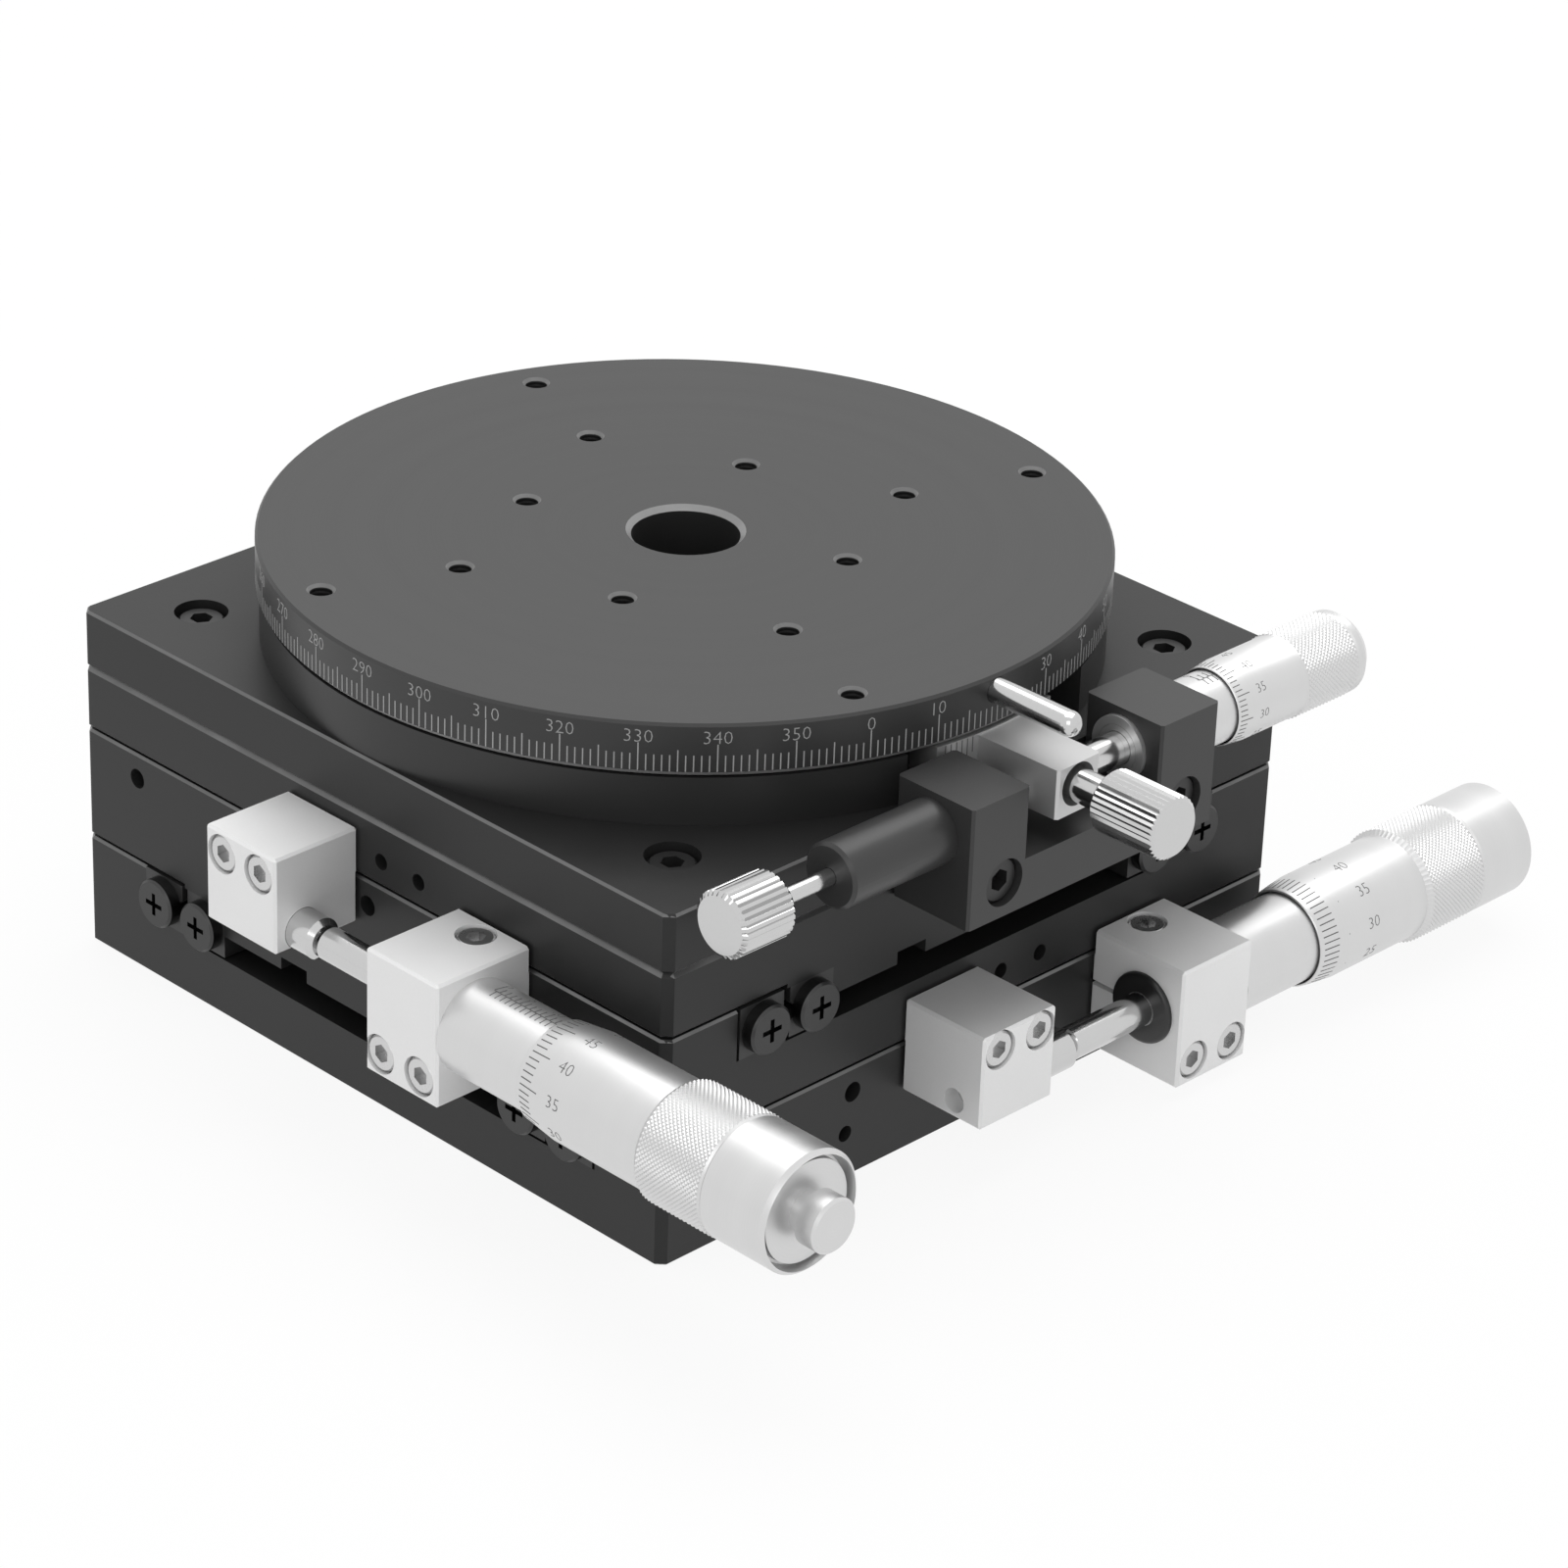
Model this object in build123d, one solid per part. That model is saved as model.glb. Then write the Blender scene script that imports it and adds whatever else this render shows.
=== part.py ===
"""Manual XY and rotation stage: two crossed-roller slides under a graduated dial with fine rotation.

Millimetres, +Z up, origin at the middle of the base plate's underside. The lower slide travels
along Y, the upper slide along X, and the dial turns about Z. Each slide is pushed by a
micrometer head on the outside of the plates: the Y head stands on the +X face, the X head on
the -Y face. Everything is drawn at the middle of both travels.
"""

import os
from dataclasses import dataclass
from math import cos, pi, radians, sin, sqrt

from build123d import *

os.makedirs("parts", exist_ok=True)

# Plates
PLATE = 125.0
CORNER = 1.3
EDGE = 0.35
SEAM_EDGE = 0.55
BASE_H = 17.8
MIDDLE_H = 17.6
UPPER_H = 9.8
ROTARY_H = 9.2
PLATE_GAP = 0.4

# Crossed-roller guides, drawn as one pair of rails at each side of a slide
GUIDE_INSET = 23.0
GUIDE_W = 18.0
RAIL_H = 8.0
RAIL_GAP = 1.2
RELIEF_W = 0.8
RELIEF_D = 0.5
FLOOR_CLEAR = 0.4
TONGUE_DROP = 4.4
PRELOAD_GAP = 0.5
ROLLER_D = 3.0
ROLLER_L = 2.8
ROLLER_PLAY = 0.05
ROLLER_PITCH = 11.0
ROLLERS = 9
CAGE_T = 0.8
CAGE_H = 6.0
CAGE_PLAY = 0.2

# Return springs in a groove of each tongue
GROOVE_FROM = -17.7
GROOVE_W = 5.7
GROOVE_D = 2.0
SPRING_R = 2.3
SPRING_WIRE = 0.6
POST_R = 1.0
POST_CLEAR = 0.5
FIXED_POST = 30.0
MOVING_POST = -20.0
SEAT_GAP = 0.3

# Screws: cap screws by thread radius, and the cross-recess end screws of the rails
CAP3_R = 1.45
CAP3_HEAD_R = 2.75
CAP3_HEAD_H = 3.0
CAP3_SOCKET = 2.5
CAP4_R = 1.95
CAP4_HEAD_R = 3.5
CAP4_HEAD_H = 4.0
CAP4_SOCKET = 3.0
SCREW_PLAY = 0.1
HOLE_SPARE = 1.0
OVERCUT = 1.0
SINK_R = 3.0
SINK_DEPTH = 3.3
SCREW_BITE = 6.5
END_HEAD_R = 3.8
END_HEAD_H = 2.1
END_SCREW_R = 1.45
END_SCREW_L = 6.0
CROSS_L = 3.6
CROSS_W = 0.75
CROSS_D = 1.1
GRUB_R = 1.5
GRUB_SOCKET = 1.5
GRUB_RECESS = 2.5

# Blocks on the plates' faces, and the anvil pins in two of them
BLOCK_RELIEF = 0.5
BLOCK_EDGE = 0.4
ANVIL_R = 3.15
ANVIL_OUT = 4.9
ANVIL_DEPTH = 12.0
ANVIL_BACK_R = 1.9
SLIT = 0.8
NUT_R = 5.55
NUT_T = 0.8

# Base mounting holes and the dial's hole pattern
MOUNT_INSET = 13.0
MOUNT_HOLE_R = 2.75
MOUNT_SINK_R = 4.75
MOUNT_SINK_D = 5.8
CORNER_INSET = 25.0
CORNER_SINK_R = 4.0
CORNER_SINK_D = 5.0
CORNER_SCREW_SPARE = 3.0
TAP_R = 1.65
TAP_MOUTH_R = 2.1
TAP_DEPTH = 7.0
SQUARE_INNER_INSET = 75.0
SQUARE_OUTER_INSET = 45.0
CROSS_HOLES_INSET = 37.5
DIAGONAL = 45.0
PATTERN_TURN = 25.1
BORE_R = 8.0
BORE_EDGE = 0.8

# Dial, drum and bearing
DIAL_H = 8.1
DIAL_EDGE = 0.4
DIAL_RIM_EDGE = 0.8
DRUM_SETBACK = 0.5
DRUM_WALL = 5.0
DRUM_H = 7.4
DIAL_GAP = 0.3
RING_CLEAR = 1.0
BOSS_H = 4.6
RACE_W = 13.0
RACE_H = 8.0
RACE_FLOOR = 3.0
RACE_GAP = 1.0
RACE_SHOULDER = 3.0
BEARING_ROLLER_D = 4.0
BEARING_ROLLER_L = 3.8
BEARING_ROLLERS = 16
RETAINER_CLEAR = 3.0
RETAINER_SEAT = 8.0
RETAINER_LIP = 4.5
RETAINER_LIP_T = 1.0
RETAINER_SCREWS = 6
RETAINER_SCREW_HEAD_R = 2.8
HUB_RING_LAP = 3.5
HUB_RING_H = 2.4
HUB_RING_PLAY = 0.5
HUB_RING_CLEAR = 2.0
PIN_R = 1.9
PIN_Z_BELOW_TOP = 2.4
PIN_SEAT = 10.5
PIN_OUT = 15.5

# Clamping ring, tangent arm and lock screw
RING_WALL = 5.95
RING_PLAY = 0.05
ARM_TURN = 1.35
ARM_W = 8.7
ARM_TOP_DROP = 0.5
ARM_OUT = 14.5
ARM_ROOT = 2.0
ARM_FOOT_OUT = 2.1
ARM_FOOT_DROP = 0.5
ARM_CLEAR = 0.8
VERNIER_STEP = 0.2
VERNIER_FROM = -9.6
VERNIER_TO = 12.3
WINDOW_FROM = -14.0
WINDOW_TO = 22.0
LOCK_Y = 1.7
LOCK_RISE = 3.8
LOCK_SCREW_R = 2.0
LOCK_NECK_R = 2.5
LOCK_SINK_R = 3.3
LOCK_SINK_D = 4.0
LOCK_KNOB_R = 4.75
LOCK_KNOB_OUT = 6.0
LOCK_KNOB_L = 11.9
SHOE_L = 3.0
KNURL_DEPTH = 0.3
KNURLS = 34

# Bracket of the fine rotation
BRACKET_D = 14.5
BRACKET_Y = (-19.4, -8.0, 19.0, 31.0)
BRACKET_FOOT = 12.0
BRACKET_WEB = 4.4
BRACKET_HEAD = 6.8
BRACKET_SCREW_Y = (-12.4, 24.6)
BRACKET_SCREW_DROP = 6.7
BRACKET_SINK = 5.0
FINE_OUT = 6.9
FINE_RISE = 0.8
BUSH_R = 4.85
BUSH_OUT = 0.7
BUSH_STEM_R = 3.5
HOLE_PLAY = 0.05

# Spring plunger opposite the small micrometer head
PLUNGER_END = -39.3
PLUNGER_R = 4.9
PLUNGER_THREAD_R = 4.0
PLUNGER_SET_BACK = 0.6
PLUNGER_PIN_R = 2.6
PLUNGER_PIN_L = 21.0
PLUNGER_ROD_R = 1.25
PLUNGER_WALL = 2.5
PLUNGER_SPRING_R = 2.35
PLUNGER_SPRING_WIRE = 0.7
PULL_KNOB = (-59.9, -50.2)
PULL_KNOB_R = 4.95
PULL_KNOB_BORE = 6.0
PULL_KNOB_DISC = 1.6
PULL_KNOB_GROOVE = 0.5
TIP_DOME_R = 3.5


@dataclass(frozen=True)
class Head:
    """Sizes of one micrometer head; places along it are measured from the thimble's front edge."""

    spindle_r: float
    reach: float
    sleeve_r: float
    sleeve_inside: float
    thimble_r: float
    band_r: float
    band_from: float
    length: float
    end_r: float
    end_bevel: float
    cavity: float
    end_wall: float
    rim_recess: float

    @property
    def spindle_end(self):
        """Place of the spindle's rear end, inside the thimble."""
        return self.length - self.end_wall


LARGE = Head(
    spindle_r=2.5, reach=48.0, sleeve_r=7.05, sleeve_inside=16.0, thimble_r=8.3, band_r=9.1,
    band_from=24.05, length=48.3, end_r=8.6, end_bevel=0.6, cavity=30.0, end_wall=2.6,
    rim_recess=1.0,
)
SMALL = Head(
    spindle_r=2.5, reach=31.4, sleeve_r=5.5, sleeve_inside=12.0, thimble_r=6.4, band_r=6.55,
    band_from=14.6, length=28.9, end_r=5.2, end_bevel=2.4, cavity=15.0, end_wall=2.2,
    rim_recess=0.0,
)
THIMBLE_PLAY = 0.25
THIMBLE_BEVEL = 0.4
SPINDLE_PLAY = 0.05
STEM_R = 4.75
STEM_NUT_R = 3.5
BUTTON_R = 4.05
BUTTON_NECK_R = 3.0
BUTTON_OUT = 1.0
BUTTON_H = 3.5

# Levels that follow from the sizes above
HALF = PLATE / 2
MOUNT_PITCH = PLATE - MOUNT_INSET
CORNER_PITCH = PLATE - CORNER_INSET
GUIDE_CENTRE = HALF - GUIDE_INSET
GUIDE_IN = GUIDE_CENTRE - GUIDE_W / 2
GUIDE_OUT = GUIDE_CENTRE + GUIDE_W / 2
RAIL_W = (GUIDE_W - RAIL_GAP) / 2
RAIL_MIDDLE = RAIL_GAP / 2 + RAIL_W / 2
LOWER_SEAT = BASE_H - RAIL_H
MIDDLE_BOTTOM = BASE_H + PLATE_GAP
MIDDLE_TOP = MIDDLE_BOTTOM + MIDDLE_H
UPPER_SEAT = MIDDLE_TOP - RAIL_H
UPPER_BOTTOM = MIDDLE_TOP + PLATE_GAP
UPPER_TOP = UPPER_BOTTOM + UPPER_H
ROTARY_TOP = UPPER_TOP + ROTARY_H
DIAL_BOTTOM = ROTARY_TOP + DRUM_H + DIAL_GAP
DIAL_TOP = DIAL_BOTTOM + DIAL_H
RACE_BOTTOM = UPPER_TOP + RACE_FLOOR
RACE_TOP = RACE_BOTTOM + RACE_H
BOSS_BOTTOM = DIAL_BOTTOM - BOSS_H
GROOVE_MIDDLE = GROOVE_FROM + GROOVE_W / 2
BRACKET_OUT = HALF + BRACKET_D

# Radii from the dial inwards, then what stands off the plates' faces
DIAL_R = HALF
SQUARE_INNER = 2 * DIAL_R - SQUARE_INNER_INSET
SQUARE_OUTER = 2 * DIAL_R - SQUARE_OUTER_INSET
CROSS_HOLES_R = DIAL_R - CROSS_HOLES_INSET
DRUM_R = DIAL_R - DRUM_SETBACK
VERNIER_R = DRUM_R + VERNIER_STEP
RING_R = DRUM_R - DRUM_WALL - RING_CLEAR
BOSS_R = RING_R - RING_WALL - RING_PLAY
RETAINER_R = BOSS_R - RETAINER_CLEAR
RACE_OUTER_R = RETAINER_R - RETAINER_SEAT
RACE_INNER_R = RACE_OUTER_R - RACE_W
RACE_MIDDLE_R = (RACE_INNER_R + RACE_OUTER_R) / 2
HUB_RING_R = RACE_INNER_R + HUB_RING_LAP
HUB_RING_BORE = BORE_R + HUB_RING_PLAY
PIN_FROM = DIAL_R - PIN_SEAT
PIN_TO = DIAL_R + PIN_OUT
ARM_END = HALF + ARM_OUT
ARM_FOOT_FROM = HALF + ARM_FOOT_OUT
LOCK_Z = ROTARY_TOP + LOCK_RISE
LOCK_KNOB_FROM = ARM_END + LOCK_KNOB_OUT
LOCK_KNOB_TO = LOCK_KNOB_FROM + LOCK_KNOB_L
FINE_X = HALF + FINE_OUT
FINE_Z = ROTARY_TOP + FINE_RISE
BRACKET_Z = (ROTARY_TOP - BRACKET_FOOT, ROTARY_TOP - BRACKET_WEB, ROTARY_TOP + BRACKET_HEAD)
BRACKET_SCREW_Z = ROTARY_TOP - BRACKET_SCREW_DROP
ARM_FACE = FINE_X * sin(radians(ARM_TURN)) / cos(radians(ARM_TURN))
ARM_HALF_Y = ARM_W / 2 / cos(radians(ARM_TURN))

# Places of the heads and blocks, from the photograph
HEAD_OUT = 10.3
HEAD_DROP = 4.7
CONTACT_FROM = -15.7
X_CONTACT_W = 15.0
Y_CONTACT_W = 14.8
CONTACT_RISE = 12.5
CONTACT_FOOT = 2.7
HOLDER_RISE = 8.6
HOLDER_FOOT = 10.7
X_CONTACT_OUT = 15.3
Y_CONTACT_OUT = 15.5
X_HOLDER_OUT = 17.3
Y_HOLDER_OUT = 17.6
Y_CONTACT_RISE = 12.0
Y_CONTACT_FOOT = 2.8
X_CONTACT_SCREW_RISE = 8.9
Y_CONTACT_SCREW_RISE = 9.1
X_HOLDER_SCREW_DROP = 7.1
Y_HOLDER_SCREW_DROP = 7.0
X_AXIS_Y = -HALF - HEAD_OUT
X_AXIS_Z = MIDDLE_TOP - HEAD_DROP
Y_AXIS_X = HALF + HEAD_OUT
Y_AXIS_Z = BASE_H - HEAD_DROP
X_TIP = 4.3
Y_TIP = 6.7
FINE_TIP = 6.3
X_MARK = X_TIP + LARGE.reach
Y_MARK = Y_TIP + LARGE.reach
FINE_MARK = FINE_TIP + SMALL.reach
X_CONTACT = (
    (CONTACT_FROM, CONTACT_FROM + X_CONTACT_W), (-HALF - X_CONTACT_OUT, -HALF),
    (X_AXIS_Z - CONTACT_FOOT, X_AXIS_Z + CONTACT_RISE),
)
X_HOLDER = (
    (20.8, 35.6), (-HALF - X_HOLDER_OUT, -HALF),
    (X_AXIS_Z - HOLDER_FOOT, X_AXIS_Z + HOLDER_RISE),
)
Y_CONTACT = (
    (HALF, HALF + Y_CONTACT_OUT), (CONTACT_FROM, CONTACT_FROM + Y_CONTACT_W),
    (Y_AXIS_Z - Y_CONTACT_FOOT, Y_AXIS_Z + Y_CONTACT_RISE),
)
Y_HOLDER = (
    (HALF, HALF + Y_HOLDER_OUT), (24.0, 39.0),
    (Y_AXIS_Z - HOLDER_FOOT, Y_AXIS_Z + HOLDER_RISE),
)
X_CONTACT_SCREWS = ((-12.2, -4.3), X_AXIS_Z + X_CONTACT_SCREW_RISE)
X_HOLDER_SCREWS = ((23.8, 31.9), X_AXIS_Z - X_HOLDER_SCREW_DROP)
Y_CONTACT_SCREWS = ((-12.3, -4.1), Y_AXIS_Z + Y_CONTACT_SCREW_RISE)
Y_HOLDER_SCREWS = ((27.45, 35.66), Y_AXIS_Z - Y_HOLDER_SCREW_DROP)
CLAMP_INSET = 3.6
X_GRUBS = (-50.1, 1.4, 52.9)
Y_GRUBS = (-25.6, 25.6)
SPARE_DEPTH = 6.0
SPARE_R = 1.25
SPARE_BASE = ((-26.8, 7.4),)

NODES = {}


def keep(name, *solids):
    """Collect the solids of one node under its name."""
    NODES.setdefault(name, []).extend(solids)


def block(xs, ys, zs):
    """A box given by its limits along X, Y and Z."""
    centre = [(low + high) / 2 for low, high in (xs, ys, zs)]
    size = [high - low for low, high in (xs, ys, zs)]
    return Pos(*centre) * Box(*size)


def turned(points, axis, a=0.0, b=0.0):
    """A turned solid: points are (place along the axis, radius), a and b place the axis."""
    outline = Polyline(*[(radius, place) for place, radius in points], close=True)
    solid = revolve(make_face(outline), Axis.Y)
    if axis == "X":
        return Pos(0, a, b) * Rot(0, 0, -90) * solid
    if axis == "Y":
        return Pos(a, 0, b) * solid
    return Pos(a, b, 0) * Rot(90, 0, 0) * solid


def rod(axis, start, end, radius, a=0.0, b=0.0):
    """A plain cylinder from start to end along an axis."""
    return turned([(start, 0), (start, radius), (end, radius), (end, 0)], axis, a, b)


def tube(axis, start, end, outer, inner, a=0.0, b=0.0):
    """A plain tube from start to end along an axis."""
    return turned([(start, inner), (start, outer), (end, outer), (end, inner)], axis, a, b)


def swept(points, axis, half_length):
    """An outline across a slide, (sideways, height), drawn out along the travel."""
    plane = Plane.YZ if axis == "X" else Plane.XZ
    face = plane * make_face(Polyline(*points, close=True))
    return extrude(face, half_length, both=True)


def facing(point, direction, solid):
    """Move a solid drawn along +Z so that it stands on a point and looks along a direction."""
    return Plane(origin=point, z_dir=direction) * solid


def square_plate(bottom, top, bottom_edge, top_edge):
    """A square plate with cut corners and bevelled upper and lower edges."""
    plate = block((-HALF, HALF), (-HALF, HALF), (bottom, top))
    plate = chamfer(plate.edges().filter_by(Axis.Z), CORNER)
    faces = plate.faces().sort_by(Axis.Z)
    plate = chamfer(faces[0].edges(), bottom_edge)
    return chamfer(plate.faces().sort_by(Axis.Z)[-1].edges(), top_edge)


def cap_screw(radius, length, head_r, head_h, socket):
    """A socket cap screw with its head's underside at zero and its shank along -Z."""
    bevel = head_h / 10
    profile = [(-length, 0), (-length, radius), (0, radius), (0, head_r)]
    profile += [(head_h - bevel, head_r), (head_h, head_r - bevel), (head_h, 0)]
    screw = turned(profile, "Z")
    recess = extrude(RegularPolygon(socket / 2, 6, major_radius=False), head_h / 2)
    return screw - Pos(0, 0, head_h / 2) * recess


def cap3(length):
    """An M3 socket cap screw."""
    return cap_screw(CAP3_R, length, CAP3_HEAD_R, CAP3_HEAD_H, CAP3_SOCKET)


def cap4(length):
    """An M4 socket cap screw."""
    return cap_screw(CAP4_R, length, CAP4_HEAD_R, CAP4_HEAD_H, CAP4_SOCKET)


def end_screw():
    """A flat cross-recess screw for a rail's end, head standing on zero towards +Z."""
    bevel = END_HEAD_H / 6
    profile = [(-END_SCREW_L, 0), (-END_SCREW_L, END_SCREW_R), (0, END_SCREW_R), (0, END_HEAD_R)]
    profile += [(END_HEAD_H - bevel, END_HEAD_R), (END_HEAD_H, END_HEAD_R - bevel), (END_HEAD_H, 0)]
    top = (END_HEAD_H - CROSS_D, END_HEAD_H + CROSS_D)
    long_half, thin_half = (-CROSS_L / 2, CROSS_L / 2), (-CROSS_W / 2, CROSS_W / 2)
    cross = block(long_half, thin_half, top) + block(thin_half, long_half, top)
    return turned(profile, "Z") - cross


def grub_screw(length):
    """A set screw with its hexagon socket at zero and its point along -Z."""
    screw = turned([(-length, 0), (-length, GRUB_R), (0, GRUB_R), (0, 0)], "Z")
    recess = extrude(RegularPolygon(GRUB_SOCKET / 2, 6, major_radius=False), -GRUB_SOCKET)
    return screw - recess


def channel_outline(bottom, top, seat, preload_side):
    """Outline of a plate with a guide channel in its top; preload_side (-1 or 1) has the play."""
    right = GUIDE_OUT + (PRELOAD_GAP if preload_side > 0 else 0)
    left = GUIDE_OUT + (PRELOAD_GAP if preload_side < 0 else 0)
    floor = seat - FLOOR_CLEAR
    return [
        (-HALF, bottom), (HALF, bottom), (HALF, top), (right, top), (right, seat),
        (GUIDE_CENTRE, seat), (GUIDE_CENTRE, floor), (-GUIDE_CENTRE, floor),
        (-GUIDE_CENTRE, seat), (-left, seat), (-left, top), (-HALF, top),
    ]


def tongue_outline(seat, top):
    """Outline of a plate whose underside carries the inner rails and reaches into the channel."""
    rail_top = seat + RAIL_H
    shoulder = rail_top + PLATE_GAP
    low = rail_top - TONGUE_DROP
    groove_to = GROOVE_FROM + GROOVE_W
    return [
        (-HALF, shoulder), (-GUIDE_CENTRE, shoulder), (-GUIDE_CENTRE, rail_top),
        (-GUIDE_IN, rail_top), (-GUIDE_IN, low), (GROOVE_FROM, low),
        (GROOVE_FROM, low + GROOVE_D), (groove_to, low + GROOVE_D), (groove_to, low),
        (GUIDE_IN, low), (GUIDE_IN, rail_top), (GUIDE_CENTRE, rail_top),
        (GUIDE_CENTRE, shoulder), (HALF, shoulder), (HALF, top), (-HALF, top),
    ]


def tongue_blank(seat, axis):
    """The room under a plate's shoulder that its tongue may fill."""
    across = (-GUIDE_CENTRE, GUIDE_CENTRE)
    height = (seat + RAIL_H - TONGUE_DROP, seat + RAIL_H + PLATE_GAP + EDGE)
    limits = (-HALF, HALF)
    return block(across, limits, height) if axis == "Y" else block(limits, across, height)


def rail(side, outer, seat, axis):
    """One V-grooved rail: side is -1 or 1, outer tells the channel's rail from the tongue's."""
    hand = side if outer else -side
    near = side * GUIDE_CENTRE + hand * RAIL_GAP / 2
    far = near + hand * RAIL_W
    middle = seat + RAIL_H / 2
    apex = (ROLLER_D / 2 + ROLLER_PLAY) * sqrt(2)
    mouth = apex - RAIL_GAP / 2
    slot_x = near + hand * (mouth - RELIEF_W / 2)
    deep_x = slot_x + hand * (RELIEF_D + RELIEF_W / 2)
    half_slot = RELIEF_W / 2
    points = [
        (near, seat), (far, seat), (far, seat + RAIL_H), (near, seat + RAIL_H),
        (near, middle + mouth), (slot_x, middle + half_slot), (deep_x, middle + half_slot),
        (deep_x, middle - half_slot), (slot_x, middle - half_slot), (near, middle - mouth),
    ]
    solid = swept(points, axis, HALF)
    for end in (-1, 1):
        sideways = side * GUIDE_CENTRE + hand * RAIL_MIDDLE
        start = end * HALF
        stop = end * (HALF - END_SCREW_L - SCREW_PLAY)
        where = (sideways, middle)
        hole = rod(axis, min(start, stop), max(start, stop), END_SCREW_R + SCREW_PLAY, *where)
        solid -= hole
    return solid


def end_screws(outer, seat, axis):
    """The four screws in the ends of both outer or both inner rails of a slide."""
    screws = []
    for side in (-1, 1):
        hand = side if outer else -side
        sideways = side * GUIDE_CENTRE + hand * RAIL_MIDDLE
        for end in (-1, 1):
            height = seat + RAIL_H / 2
            point = (end * HALF, sideways, height) if axis == "X" else (sideways, end * HALF, height)
            direction = (end, 0, 0) if axis == "X" else (0, end, 0)
            screws.append(facing(point, direction, end_screw()))
    return screws


def roller(point, lean, diameter, length):
    """A roller drawn along Z, leaning by an angle about Y, at a point."""
    return Pos(*point) * Rot(0, lean, 0) * Cylinder(diameter / 2, length)


def cages(seat, axis):
    """Both roller cages of a slide and their crossed rollers, at the middle of the travel."""
    strips, rollers = [], []
    middle = seat + RAIL_H / 2
    half = ROLLER_PITCH * ROLLERS / 2
    window = ROLLER_D + 2 * CAGE_PLAY
    tall = ROLLER_D * sqrt(2) + CAGE_PLAY
    turn = Rot(0, 0, -90) if axis == "X" else Rot(0, 0, 0)
    for side in (-1, 1):
        centre = side * GUIDE_CENTRE
        sides = (centre - CAGE_T / 2, centre + CAGE_T / 2)
        strip = block(sides, (-half, half), (middle - CAGE_H / 2, middle + CAGE_H / 2))
        for index in range(ROLLERS):
            place = (index - (ROLLERS - 1) / 2) * ROLLER_PITCH
            lean = 45 if index % 2 else -45
            strip -= Pos(centre, place, middle) * Box(2 * CAGE_T, window, tall)
            rollers.append(turn * roller((centre, place, middle), lean, ROLLER_D, ROLLER_L))
        strips.append(turn * strip)
    return strips, rollers


def post(axis, place, low, high):
    """A spring post in the groove at a place along the travel."""
    x, y = (place, GROOVE_MIDDLE) if axis == "X" else (GROOVE_MIDDLE, place)
    return rod("Z", low, high, POST_R, x, y)


def return_spring(axis, seat):
    """The close-wound return spring between a fixed and a moving post."""
    floor = seat - FLOOR_CLEAR
    roof = seat + RAIL_H - TONGUE_DROP + GROOVE_D
    start = MOVING_POST + POST_R + SEAT_GAP
    end = FIXED_POST - POST_R - SEAT_GAP
    inner = SPRING_R - SPRING_WIRE
    return tube(axis, start, end, SPRING_R, inner, GROOVE_MIDDLE, (floor + roof) / 2)


def slide_posts(axis, seat):
    """The fixed post on a channel's floor and the moving post in the tongue's groove."""
    floor = seat - FLOOR_CLEAR
    roof = seat + RAIL_H - TONGUE_DROP + GROOVE_D
    fixed = post(axis, FIXED_POST, floor - POST_R, roof - POST_CLEAR)
    moving = post(axis, MOVING_POST, floor + POST_CLEAR, roof + POST_R)
    return fixed, moving


def bore_rows(plate, screws, axis, depth, radius):
    """Blind holes in a plate's face for a block's row of screws."""
    places, height = screws
    for place in places:
        if axis == "Y":
            plate -= rod("Y", -HALF, -HALF + depth, radius, place, height)
        else:
            plate -= rod("X", HALF - depth, HALF, radius, place, height)
    return plate


def base_plate():
    """Lower plate: channel along Y, mounting holes in its walls, holes for the Y holder."""
    blank = square_plate(0, BASE_H, EDGE, EDGE)
    plate = blank & swept(channel_outline(0, BASE_H, LOWER_SEAT, 1), "Y", HALF)
    for x in (-1, 1):
        for y in (-1, 1):
            where = (x * MOUNT_PITCH / 2, y * MOUNT_PITCH / 2)
            plate -= rod("Z", 0, BASE_H, MOUNT_HOLE_R, *where)
            plate -= rod("Z", BASE_H - MOUNT_SINK_D, BASE_H, MOUNT_SINK_R, *where)
    plate = bore_rows(plate, Y_HOLDER_SCREWS, "X", SCREW_BITE + HOLE_SPARE, CAP3_R + SCREW_PLAY)
    for place in Y_GRUBS:
        plate -= rod("X", GUIDE_OUT, HALF, GRUB_R + HOLE_PLAY, place, LOWER_SEAT + RAIL_H / 2)
    for place, height in SPARE_BASE:
        plate -= rod("X", HALF - SPARE_DEPTH, HALF, SPARE_R, place, height)
    return plate + slide_posts("Y", LOWER_SEAT)[0]


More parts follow.
